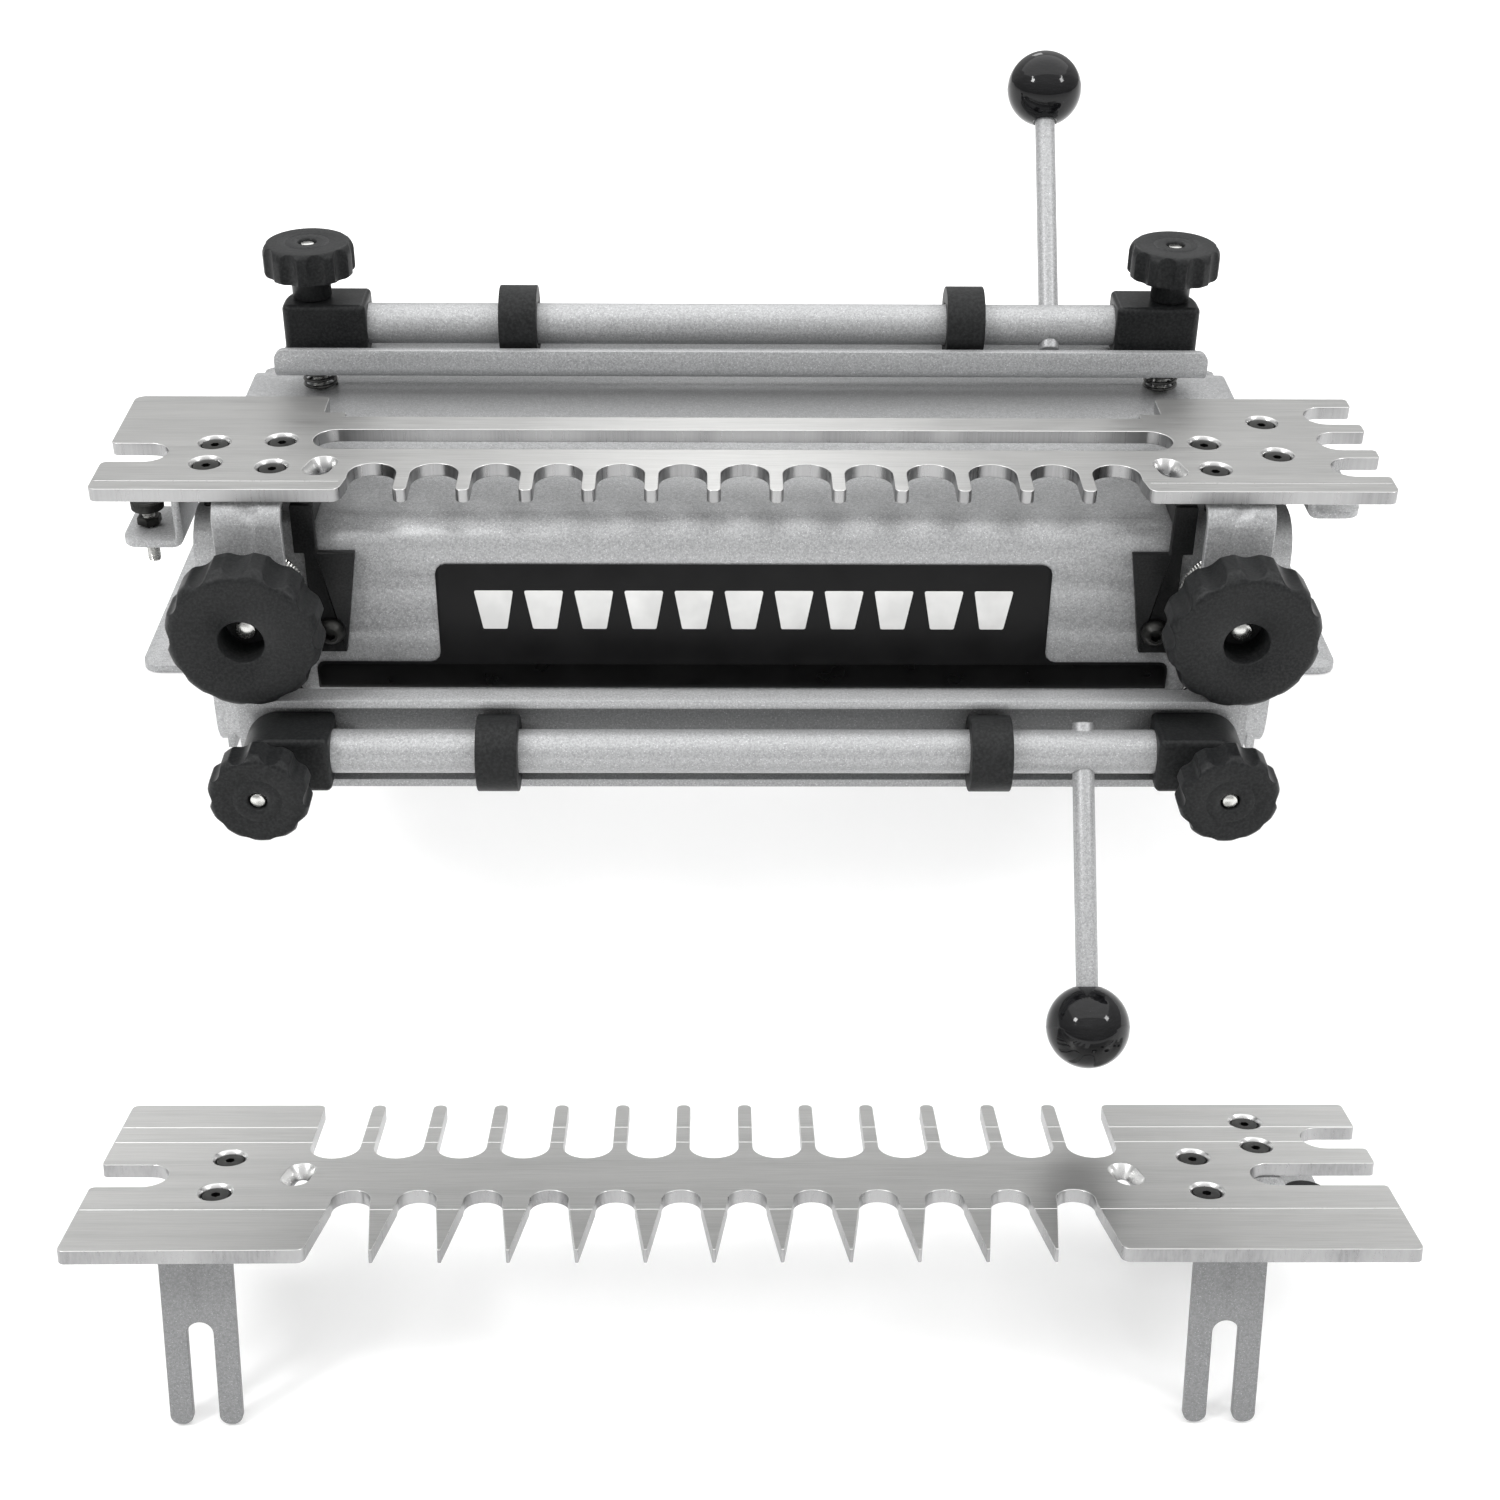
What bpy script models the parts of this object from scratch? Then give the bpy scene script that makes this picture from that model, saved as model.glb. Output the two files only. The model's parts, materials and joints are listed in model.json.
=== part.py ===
"""Dovetail jig with its mounted half-blind template and its spare through-dovetail template.

Every length below is in millimetres and is turned into metres where a mesh or a place is made.
X runs along the jig, Y from the operator to the back, Z up. The front face of the base is the
plane Y = FRONT_FACE_Y and its sole is Z = 0, so the origin lies on the base's front foot.
"""

import math

import bmesh
import bpy
from mathutils import Matrix, Vector

MM = 0.001
GAP = 0.3

# Base: one folded steel sheet with two welded end plates and two mounting wings.
FRONT_FACE_Y = -16.0
BASE_HALF = 200.0
BASE_HEIGHT = 97.0
BASE_DEPTH = 150.0
BASE_SHEET = 3.0
FRONT_BEND = 12.0
REAR_CORNER_R = 12.0
FRONT_FOOT = 24.0
REAR_FOOT = 30.0
END_PLATE_X = 194.0
WING_X = 243.0
WING_FRONT = 60.0
WING_HOLE_R = 3.5
WING_HOLES = ((225.0, 78.0), (225.0, 162.0))

# Clamps: both share these, in a local frame (along, across, press) centred on the cam tube.
STUD_X = 171.0
CLAMP_STUD_R = 3.0
CLAMP_BORE_R = 3.4
BAR_HOLE_R = 4.2
TUBE_R = 8.0
TUBE_WALL = 2.0
TUBE_HALF = 159.0
SOCKET_R = 8.4
BLOCK_IN = 149.0
BLOCK_OUT = 182.0
BLOCK_HALF = 11.0
RING_X = 89.0
RING_W = 15.0
RING_R = 14.0
CAM_THROW = 1.2
CHANNEL_HALF = 185.5
CHANNEL_ACROSS = 18.4
CHANNEL_LIP = 12.0
CHANNEL_SHEET = 3.2
CHANNEL_END_R = 4.0
CHANNEL_UNDER = -16.5
LEVER_X = 123.5
LEVER_R = 4.0
LEVER_TAIL = 10.5
BALL_R = 15.0
BALL_DISTANCE = 99.5
TOP_CLAMP = ("top", (0.0, 125.0, 124.4), 0.0, 39.4, 27.4)
FRONT_CLAMP = ("front", (0.0, -39.0, 25.0), math.radians(90.0), -51.2, 39.0)

# Small clamp knob: stations of (height, radius, flute depth), collar first.
SMALL_LOBES = 10
SMALL_KNOB = (
    (0.0, 7.8, 0.0),
    (9.9, 7.8, 0.0),
    (9.9, 15.5, 0.3),
    (11.5, 18.0, 1.4),
    (18.6, 18.0, 1.4),
    (22.4, 15.4, 0.0),
)
SMALL_KNOB_BORE = ((22.4, CLAMP_BORE_R), (0.0, CLAMP_BORE_R))

# Template mounting: stud, knurled adjusting nut, forked bracket and big knob on each side.
TEMPLATE_STUD_X = 177.0
TEMPLATE_STUD_Z = 71.5
TEMPLATE_STUD_R = 4.0
TEMPLATE_BORE_R = 4.4
NUT_FRONT = -9.7
NUT_BACK = -3.7
NUT_R = 18.0
BIG_LOBES = 12
BIG_KNOB = (
    (0.0, 11.0, 0.0),
    (10.5, 11.0, 0.0),
    (10.5, 24.5, 0.4),
    (13.0, 27.5, 1.9),
    (23.5, 27.5, 1.9),
    (28.7, 23.2, 0.0),
)
BIG_KNOB_BORE = ((28.7, 8.2), (13.5, 8.2), (13.5, TEMPLATE_BORE_R), (0.0, TEMPLATE_BORE_R))

# Templates: thickness, top height and the finger pitch that sets their scale.
PLATE = 5.0
TEMPLATE_TOP = 116.0
TEMPLATE_FRONT = -11.0
TEMPLATE_HALF = 232.0
TEMPLATE_DEPTH = 82.0
PITCH = 22.225
GAP_R = 8.6
GAP_CENTRE = 13.5
GAPS = 13
SLOT_LOW = 34.6
SLOT_HIGH = 51.4
SLOT_END = 158.5
RAIL_BACK = 63.2
NOTCH_X = 158.0
LEDGE_X = 149.8
LEDGE_BACK = 67.0
END_SLOT_R = 7.75
TEMPLATE_SCREWS = {
    "left_outer_rear": (-194.2, 39.8),
    "left_inner_rear": (-170.0, 42.0),
    "left_outer_front": (-194.2, 22.2),
    "left_inner_front": (-170.0, 19.4),
    "right_outer_rear": (195.0, 59.9),
    "right_inner_rear": (170.0, 41.4),
    "right_outer_front": (195.0, 31.4),
    "right_inner_front": (170.0, 19.0),
}
RELIEF_SLOTS = ((-152.7, 20.6), (153.6, 20.0))

# Forked brackets, shared by both templates.
BRACKET_SHEET = 3.0
BRACKET_BEND = 7.0
BRACKET_HALF = 12.3
TEMPLATE_LEG = 72.0
SPARE_LEG = 77.0
BRACKET_REACH = 56.0
FORK_HALF = 4.4
FORK_TOP = 37.6

# Spare template, standing on its fork legs in front of the jig, its back edge dipped.
SPARE_PLACE = (-1.6, -203.0, -62.1)
SPARE_DIP = math.radians(-14.6)
SPARE_HALF = 221.4
SPARE_DEPTH = 103.7
SPARE_OFFSET = -9.2
SPARE_LEG_Y = 18.0
SPARE_SCREWS = (
    (-178.0, 63.2),
    (-178.0, 38.9),
    (158.6, 63.4),
    (158.6, 39.2),
    (182.8, 90.0),
    (182.8, 71.9),
)
SPARE_LEG_X = (-181.5, 163.3)
SPARE_RELIEF = ((-152.1, 51.8), (133.1, 51.4))

STEEL = (0.55, 0.55, 0.54)
PAINT = (0.50, 0.50, 0.50)
BLACK = (0.025, 0.025, 0.027)
ALUMINIUM = (0.68, 0.68, 0.67)


def clear_scene():
    for obj in list(bpy.data.objects):
        bpy.data.objects.remove(obj, do_unlink=True)


def material(name, colour, roughness, metallic):
    """One Principled material, made once and then shared."""
    found = bpy.data.materials.get(name)
    if found:
        return found
    made = bpy.data.materials.new(name)
    made.use_nodes = True
    shader = made.node_tree.nodes["Principled BSDF"]
    shader.inputs["Base Color"].default_value = (*colour, 1.0)
    shader.inputs["Roughness"].default_value = roughness
    shader.inputs["Metallic"].default_value = metallic
    made.diffuse_color = (*colour, 1.0)
    return made


def paint():
    return material("silver_paint", PAINT, 0.45, 0.6)


def steel():
    return material("zinc_steel", STEEL, 0.3, 1.0)


def aluminium():
    return material("brushed_aluminium", ALUMINIUM, 0.35, 1.0)


def black_plastic():
    return material("black_plastic", BLACK, 0.5, 0.0)


def black_oxide():
    return material("black_oxide", BLACK, 0.4, 0.5)


def gloss_black():
    return material("gloss_black", (0.01, 0.01, 0.01), 0.1, 0.0)


def black_rubber():
    return material("black_rubber", (0.03, 0.03, 0.03), 0.7, 0.0)


# ---------------------------------------------------------------- mesh helpers


def place(obj, parent=None, at=(0.0, 0.0, 0.0), turn=None):
    """Puts an object at a place in millimetres, under a parent, with an optional turn."""
    obj.location = Vector(at) * MM
    if turn is not None:
        obj.rotation_euler = turn
    obj.parent = parent
    return obj


def new_object(name, points, faces, finish=None):
    """An object from points in millimetres, with its faces turned to point out."""
    mesh = bpy.data.meshes.new(name)
    mesh.from_pydata([Vector(p) * MM for p in points], [], faces)
    work = bmesh.new()
    work.from_mesh(mesh)
    bmesh.ops.recalc_face_normals(work, faces=work.faces)
    work.to_mesh(mesh)
    work.free()
    if finish:
        mesh.materials.append(finish)
    obj = bpy.data.objects.new(name, mesh)
    bpy.context.scene.collection.objects.link(obj)
    return obj


def new_empty(name, at, turn=(0.0, 0.0, 0.0), parent=None):
    """A frame that other pieces are placed in."""
    empty = bpy.data.objects.new(name, None)
    bpy.context.scene.collection.objects.link(empty)
    return place(empty, parent, at, turn)


def along(axis, u, v, w):
    """A point whose outline coordinates are u, v and whose depth w runs along the axis."""
    return {"X": (w, u, v), "Y": (u, w, v), "Z": (u, v, w)}[axis]


def prism(outline, low, high, axis):
    """Points and faces of an outline pulled along an axis from low to high."""
    count = len(outline)
    points = [along(axis, u, v, low) for u, v in outline]
    points += [along(axis, u, v, high) for u, v in outline]
    faces = [list(range(count)), list(range(count, 2 * count))]
    for i in range(count):
        j = (i + 1) % count
        faces.append([i, j, count + j, count + i])
    return points, faces


def loft(rings, closed):
    """Points and faces through rings of equal length, capped unless it closes on itself."""
    count = len(rings[0])
    points = [p for ring in rings for p in ring]
    faces = []
    total = len(rings)
    for k in range(total if closed else total - 1):
        n = (k + 1) % total
        for i in range(count):
            j = (i + 1) % count
            faces.append([k * count + i, k * count + j, n * count + j, n * count + i])
    if not closed:
        faces.append(list(range(count)))
        faces.append(list(range((total - 1) * count, total * count)))
    return points, faces


def merged(*shapes):
    """Several shapes' points and faces as one list, for a cutter of separate solids."""
    points, faces = [], []
    for more_points, more_faces in shapes:
        start = len(points)
        points += more_points
        faces += [[start + i for i in face] for face in more_faces]
    return points, faces


def arc(centre, radius, start, end, steps):
    """Points on an arc, in degrees, both ends included."""
    points = []
    for k in range(steps + 1):
        angle = math.radians(start + (end - start) * k / steps)
        points.append((centre[0] + radius * math.cos(angle), centre[1] + radius * math.sin(angle)))
    return points


def circle(centre, radius, count):
    return arc(centre, radius, 0.0, 360.0, count)[:-1]


def ring_of(axis, centre, radius, depth, count):
    """A circle as space points, at a depth along the axis."""
    return [along(axis, u, v, depth) for u, v in circle(centre, radius, count)]


def turned(axis, centre, stations, count=20, closed=False):
    """A turned solid: stations are (depth, radius) along the axis."""
    rings = [ring_of(axis, centre, radius, depth, count) for depth, radius in stations]
    return loft(rings, closed)


def drill(axis, centre, radius, low, high, count=16):
    """A plain cylinder, as a hole cutter."""
    return turned(axis, centre, ((low, radius), (high, radius)), count)


def sheet_outline(path, thickness, bend, steps=5):
    """Outline of a folded sheet whose middle line is the path, bent at each inner corner."""
    half = thickness / 2.0
    left, right = [], []
    spots = [Vector(p) for p in path]
    for i, spot in enumerate(spots):
        into = (spot - spots[i - 1]).normalized() if i else (spots[1] - spot).normalized()
        out = (spots[i + 1] - spot).normalized() if i < len(spots) - 1 else into
        normal = Vector((-into.y, into.x))
        turn = into.x * out.y - into.y * out.x
        if i in (0, len(spots) - 1) or abs(turn) < 1e-6:
            left.append(spot + normal * half)
            right.append(spot - normal * half)
            continue
        side = 1.0 if turn > 0.0 else -1.0
        angle = math.acos(max(-1.0, min(1.0, into.dot(out))))
        centre = spot - into * bend * math.tan(angle / 2.0) + normal * side * bend
        for k in range(steps + 1):
            spoke = Matrix.Rotation(side * angle * k / steps, 2) @ (-normal * side)
            left.append(centre + spoke * (bend - side * half))
            right.append(centre + spoke * (bend + side * half))
    return [tuple(p) for p in left] + [tuple(p) for p in reversed(right)]


def cut(obj, shape, name):
    """Cuts a shape, given as points and faces in the object's own frame, from an object."""
    helper = new_object(name, *shape)
    helper.parent = obj
    helper.hide_render = True
    helper.display_type = "WIRE"
    step = obj.modifiers.new(name, "BOOLEAN")
    step.operation = "DIFFERENCE"
    step.solver = "EXACT"
    step.object = helper
    return obj


def add(obj, shape, name):
    """Welds a shape onto an object, in the object's own frame."""
    cut(obj, shape, name)
    obj.modifiers[name].operation = "UNION"
    return obj


def soften(obj, width, segments=1):
    """Rounds an object's sharp edges."""
    bevel = obj.modifiers.new("softened", "BEVEL")
    bevel.width = width * MM
    bevel.segments = segments
    bevel.limit_method = "ANGLE"
    bevel.angle_limit = math.radians(40.0)
    return obj


def shade(obj, degrees=35.0):
    """Smooth shading with sharp edges kept."""
    obj.data.shade_smooth()
    obj.data.set_sharp_from_angle(angle=math.radians(degrees))
    return obj


# ------------------------------------------------------------------------ base


def front_holes():
    """Cutters through the base's front face, one for each stud and guide screw."""
    shapes = []
    for side in (-1.0, 1.0):
        shapes.append(drill("Y", (side * STUD_X, FRONT_CLAMP[1][2]), CLAMP_BORE_R, -5.0, 8.0))
        stud = (side * TEMPLATE_STUD_X, TEMPLATE_STUD_Z)
        shapes.append(drill("Y", stud, TEMPLATE_BORE_R, -5.0, 8.0))
        shapes.append(drill("Y", (side * GUIDE_SCREW[0], GUIDE_SCREW[1]), 3.0, -5.0, 8.0, 12))
    return shapes


def top_holes():
    """Cutters through the top plate for the top clamp's studs, and through the wings."""
    shapes = []
    for side in (-1.0, 1.0):
        stud = (side * STUD_X, TOP_CLAMP[1][1])
        shapes.append(drill("Z", stud, CLAMP_BORE_R, BASE_HEIGHT - 8.0, BASE_HEIGHT + 5.0))
        for x, y in WING_HOLES:
            shapes.append(drill("Z", (side * x, y), WING_HOLE_R, -5.0, 8.0, 12))
    return shapes


def corner_cutter(corner, outward, radius, low, high, axis="Z"):
    """A cutter that rounds one square corner of an outline; outward holds its two signs."""
    (u, v), (sign_u, sign_v) = corner, outward
    centre = (u - sign_u * radius, v - sign_v * radius)
    curve = [(centre[0] + sign_u * a, centre[1] + sign_v * b) for a, b in arc((0, 0), radius, 0, 90, 5)]
    beyond_u, beyond_v = u + sign_u * 2.0, v + sign_v * 2.0
    outline = [(beyond_u, centre[1]), *curve, (centre[0], beyond_v), (beyond_u, beyond_v)]
    return prism(outline, low, high, axis)


def base_path():
    """Middle line of the folded base sheet in Y and Z, from the front foot round to the rear foot."""
    half = BASE_SHEET / 2.0
    top = BASE_HEIGHT - half
    back = BASE_DEPTH - half
    return (
        (FRONT_FOOT, half),
        (half, half),
        (half, top),
        (back, top),
        (back, half),
        (BASE_DEPTH + REAR_FOOT, half),
    )


def wing_outline(side):
    """A mounting wing in X and Y with round outer corners."""
    inner = side * (END_PLATE_X - 2.0)
    outer = side * WING_X
    low, high, round_r = WING_FRONT, BASE_DEPTH + REAR_FOOT - 1.0, 7.0
    start, centre_x = (0.0, outer - round_r) if side > 0.0 else (180.0, outer + round_r)
    front = arc((centre_x, low + round_r), round_r, -90.0, start if side > 0.0 else -180.0, 4)
    rear = arc((centre_x, high - round_r), round_r, start, 90.0, 4)
    return [(inner, low), *front, *rear, (inner, high)]


def build_base(jig):
    half = BASE_SHEET / 2.0
    outline = sheet_outline(base_path(), BASE_SHEET, FRONT_BEND)
    base = new_object("base_body", *prism(outline, -BASE_HALF, BASE_HALF, "X"), paint())
    for side in (-1.0, 1.0):
        near, far = sorted((side * END_PLATE_X, side * (END_PLATE_X + BASE_SHEET)))
        plate = [(half, 1.0), (BASE_DEPTH - half, 1.0), (BASE_DEPTH - half, BASE_HEIGHT - half)]
        bend = (half + FRONT_BEND, BASE_HEIGHT - half - FRONT_BEND)
        plate += arc(bend, FRONT_BEND, 90.0, 180.0, 5)
        add(base, prism(plate, near, far, "X"), f"end_plate_{side:+.0f}")
        add(base, prism(wing_outline(side), 0.0, BASE_SHEET, "Z"), f"wing_{side:+.0f}")
    cut(base, merged(*front_holes(), *top_holes()), "base_holes")
    ends = [((s * BASE_HALF, BASE_DEPTH), (s, 1.0)) for s in (-1.0, 1.0)]
    corners = [corner_cutter(*end, REAR_CORNER_R, 4.0, BASE_HEIGHT + 5.0) for end in ends]
    cut(base, merged(*corners), "base_corners")
    return place(shade(base), jig)


LABEL_STRIP = (159.5, 29.0, 40.3)
LABEL_PANEL = (113.0, 81.2)


def build_label(jig):
    """The black badge plate: a low strip with a taller panel in its middle."""
    strip_x, low, middle = LABEL_STRIP
    panel_x, high = LABEL_PANEL
    half = [(0.0, low), (strip_x, low), *arc((strip_x - 3.0, middle - 3.0), 3.0, 0.0, 90.0, 3)]
    half += arc((panel_x + 4.0, middle + 4.0), 4.0, 270.0, 180.0, 3)
    half += [*arc((panel_x - 4.0, high - 4.0), 4.0, 0.0, 90.0, 3), (0.0, high)]
    outline = half + [(-x, z) for x, z in reversed(half[1:-1])]
    label = new_object("front_label", *prism(outline, -GAP - 0.5, -GAP, "Y"), black_plastic())
    return place(label, jig)


GUIDE_SCREW = (152.2, 55.3)
GUIDE_SHEET = 3.0


def guide_outline(side):
    """Face of a stock guide in X and Z, with a screw slot that is open on its outer side."""
    x, z = GUIDE_SCREW
    face = [(141.2, 86.8), (147.2, 46.0), (159.4, 46.0), (159.4, z - 3.1)]
    face += arc((x, z), 3.1, 270.0, 90.0, 6)
    face += [(159.4, z + 3.1), (159.4, 86.8), (163.0, 86.8), (163.0, 106.0)]
    face += [(154.8, 106.0), (154.8, 86.8)]
    return [(side * u, v) for u, v in face]


def build_guides(jig):
    """Stock guides: a face on the base's front and a stop block over its top edge."""
    for side, word in ((-1.0, "left"), (1.0, "right")):
        face = prism(guide_outline(side), -GAP - GUIDE_SHEET, -GAP, "Y")
        guide = new_object(f"{word}_stock_guide", *face, black_plastic())
        near, far = sorted((side * 155.2, side * 162.6))
        stop = [(-GUIDE_SHEET, 97.0 + GAP), (24.0, 97.0 + GAP), (24.0, 105.6), (-GUIDE_SHEET, 105.6)]
        add(guide, prism(stop, near, far, "X"), f"{word}_guide_stop")
        place(guide, jig)
        head = ((-8.0, 4.2), (-4.0, 5.2), (-GAP - GUIDE_SHEET - GAP, 5.2))
        shank = ((-GAP - GUIDE_SHEET - GAP, 2.6), (8.5, 2.6))
        x, z = side * GUIDE_SCREW[0], GUIDE_SCREW[1]
        screw = new_object(f"{word}_guide_screw", *turned("Y", (0, 0), head + shank, 12), black_oxide())
        place(shade(screw), jig, (x, 0.0, z))


# ---------------------------------------------------------------------- clamps


def spring_shape(radius, wire, height, turns, steps=8, sides=4):
    """A coil spring standing on its local Z axis, as one closed tube."""
    rings = []
    total = turns * steps
    rise = height - 2.0 * wire
    for k in range(total + 1):
        angle = 2.0 * math.pi * k / steps
        out = Vector((math.cos(angle), math.sin(angle), 0.0))
        middle = out * radius + Vector((0.0, 0.0, wire + rise * k / total))
        spokes = [2.0 * math.pi * (s + 0.5) / sides for s in range(sides)]
        ring = [middle + out * wire * math.cos(a) + Vector((0, 0, wire * math.sin(a))) for a in spokes]
        rings.append([tuple(p) for p in ring])
    return loft(rings, closed=False)


def knob_shape(stations, bore, lobes, per_lobe=2):
    """A fluted knob about its local Z axis, with a stepped bore."""
    count = lobes * per_lobe
    rings = []
    for height, radius, flute in stations:
        ring = []
        for k in range(count):
            angle = 2.0 * math.pi * k / count
            dip = flute * (0.5 - 0.5 * math.cos(lobes * angle))
            ring.append(((radius - dip) * math.cos(angle), (radius - dip) * math.sin(angle), height))
        rings.append(ring)
    for height, radius in bore:
        rings.append(ring_of("Z", (0.0, 0.0), radius, height, count))
    return loft(rings, closed=True)


def stud_shape(radius, head, foot, tip):
    """A threaded stud on local Z: a round head below, then its shank with a chamfered tip."""
    stations = ((foot, head), (foot + 4.0, head), (foot + 4.0, radius), (tip - 1.0, radius))
    return turned("Z", (0.0, 0.0), stations + ((tip, radius - 1.0),), 14)


def build_channel(word, frame):
    """The pressure bar: a folded channel with a hole for each stud."""
    half = CHANNEL_SHEET / 2.0
    side = CHANNEL_ACROSS - half
    low = CHANNEL_UNDER + half
    high = CHANNEL_UNDER + CHANNEL_LIP
    path = ((-side, high), (-side, low), (side, low), (side, high))
    outline = sheet_outline(path, CHANNEL_SHEET, 3.0, 3)
    bar = new_object(f"{word}_clamp_bar", *prism(outline, -CHANNEL_HALF, CHANNEL_HALF, "X"), paint())
    low, high = CHANNEL_UNDER - 3.0, CHANNEL_UNDER + 6.0
    holes = [drill("Z", (s * STUD_X, 0.0), BAR_HOLE_R, low, high) for s in (-1.0, 1.0)]
    cut(bar, merged(*holes), f"{word}_bar_holes")
    ends = [((s * CHANNEL_HALF, CHANNEL_UNDER + CHANNEL_LIP), (s, 1.0)) for s in (-1.0, 1.0)]
    corners = [corner_cutter(*end, CHANNEL_END_R, -25.0, 25.0, "Y") for end in ends]
    cut(bar, merged(*corners), f"{word}_bar_corners")
    return place(shade(bar), frame)


def block_outline(side):
    """An end block seen along its stud, with one outer corner swept round like an elbow."""
    outline = [(BLOCK_IN, -BLOCK_HALF), (BLOCK_IN, BLOCK_HALF)]
    outline += arc((BLOCK_OUT - 13.0, BLOCK_HALF - 13.0), 13.0, 90.0, 0.0, 6)
    outline += arc((BLOCK_OUT - 2.5, -BLOCK_HALF + 2.5), 2.5, 0.0, -90.0, 2)
    return [(side * u, v) for u, v in outline]


def build_block(word, side_word, side, frame):
    name = f"{word}_{side_word}_end_block"
    block = new_object(name, *prism(block_outline(side), -BLOCK_HALF, BLOCK_HALF, "Z"), black_plastic())
    soften(block, 1.6)
    near, far = sorted((side * (BLOCK_IN - 5.0), side * (TUBE_HALF + 1.0)))
    socket = drill("X", (0.0, 0.0), SOCKET_R, near, far, 20)
    cut(block, socket, name + "_socket")
    cut(block, drill("Z", (side * STUD_X, 0.0), CLAMP_BORE_R, -20.0, 20.0), name + "_bore")
    return place(shade(block), frame)


def build_tube(word, frame, lean):
    """The cam tube, turned by the lever's lean and bored across for its rod."""
    bore = TUBE_R - TUBE_WALL
    ends = ((-TUBE_HALF, TUBE_R), (TUBE_HALF, TUBE_R), (TUBE_HALF, bore), (-TUBE_HALF, bore))
    shape = turned("X", (0.0, 0.0), ends, 24, closed=True)
    tube = new_object(f"{word}_cam_tube", *shape, paint())
    hole = drill("Z", (LEVER_X, 0.0), LEVER_R + GAP, -20.0, 20.0)
    cut(tube, hole, f"{word}_tube_hole")
    return place(shade(tube), frame, turn=(lean, 0.0, 0.0))


def build_rings(word, frame):
    """Two cam rings whose outside is off the tube's axis, away from the bar, by the throw."""
    off = (0.0, CAM_THROW)
    for side, side_word in ((-1.0, "left"), (1.0, "right")):
        low, high = side * RING_X - RING_W / 2.0, side * RING_X + RING_W / 2.0
        rings = [ring_of("X", off, RING_R, low, 24), ring_of("X", off, RING_R, high, 24)]
        rings += [ring_of("X", (0, 0), SOCKET_R, high, 24), ring_of("X", (0, 0), SOCKET_R, low, 24)]
        ring = new_object(f"{word}_{side_word}_cam_ring", *loft(rings, closed=True), black_rubber())
        place(shade(ring), frame)


def ball_stations(radius, count=8):
    """Depth and radius down a ball, its two poles left as small flats."""
    stations = []
    for k in range(count + 1):
        angle = math.pi * (0.04 + 0.92 * k / count)
        stations.append((-radius * math.cos(angle), radius * math.sin(angle)))
    return tuple(stations)


def build_lever(word, frame):
    """The lever rod through the tube and the ball on its end, on the rod's own Z axis."""
    rod_end = BALL_DISTANCE - 4.0
    stations = ((-LEVER_TAIL, LEVER_R), (rod_end, LEVER_R))
    rod = new_object(f"{word}_lever_rod", *turned("Z", (0.0, 0.0), stations, 16), paint())
    place(shade(rod), frame)
    shape = turned("Z", (0.0, 0.0), ball_stations(BALL_R), 16)
    ball = new_object(f"{word}_lever_ball", *shape, gloss_black())
    socket = drill("Z", (0.0, 0.0), LEVER_R + GAP, -BALL_R - 5.0, -3.0)
    cut(ball, socket, f"{word}_ball_socket")
    place(shade(ball), frame, (0.0, 0.0, BALL_DISTANCE))


def build_clamp(jig, layout):
    """One clamp in its own frame: local X along the tube, local Z away from the base."""
    word, centre, turn, lever_degrees, base_drop = layout
    frame = new_empty(f"{word}_clamp_axis", centre, (turn, 0.0, 0.0), jig)
    lean = math.radians(-lever_degrees)
    build_channel(word, frame)
    build_tube(word, frame, lean)
    build_rings(word, frame)
    lever = new_empty(f"{word}_lever_axis", (LEVER_X, 0.0, 0.0), (lean, 0.0, 0.0), frame)
    build_lever(word, lever)
    base_level = -base_drop
    for side, side_word in ((-1.0, "left"), (1.0, "right")):
        build_block(word, side_word, side, frame)
        spot = (side * STUD_X, 0.0, 0.0)
        knob = knob_shape(SMALL_KNOB, SMALL_KNOB_BORE, SMALL_LOBES)
        knob = new_object(f"{word}_{side_word}_knob", *knob, black_plastic())
        place(shade(knob), frame, (spot[0], 0.0, BLOCK_HALF + GAP))
        stud = stud_shape(CLAMP_STUD_R, 8.0, base_level - BASE_SHEET - GAP - 4.0, 35.2)
        place(shade(new_object(f"{word}_{side_word}_stud", *stud, steel())), frame, spot)
        height = CHANNEL_UNDER - base_level - 2.0 * GAP
        turns = 3 if word == "top" else 5
        coil = new_object(f"{word}_{side_word}_spring", *spring_shape(6.6, 0.7, height, turns), steel())
        place(coil, frame, (spot[0], 0.0, base_level + GAP))


# ------------------------------------------------------------------- templates


def finger_row(centre, count, pitch, radius, inward, base):
    """Points of a row of U-shaped gaps cut in from the edge at base, left to right.

    inward is the signed distance from the edge to the centre of each gap's round end.
    """
    points = []
    sign = 1.0 if inward > 0.0 else -1.0
    for i in range(count):
        x = centre + (i - (count - 1) / 2.0) * pitch
        points += [(x - radius - 0.8, base), (x - radius, base + sign * 1.0)]
        points += arc((x, base + inward), radius, 180.0, 180.0 - sign * 180.0, 6)
        points += [(x + radius, base + sign * 1.0), (x + radius + 0.8, base)]
    return points


def end_slot(x_end, x_mouth, centre_y, radius):
    """Points of a slot open at the plate's end, in from the mouth's first side and out again."""
    sign = 1.0 if x_mouth > x_end else -1.0
    start = -90.0 if sign > 0.0 else 90.0
    centre_x = x_end + sign * radius
    first = centre_y - sign * radius
    turn = arc((centre_x, centre_y), radius, start, start - 180.0, 6)
    last = centre_y + sign * radius
    mouth = x_mouth - sign * 1.5
    return [(x_mouth, first - sign * 1.5), (mouth, first), *turn, (mouth, last), (x_mouth, last + sign * 1.5)]


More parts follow.
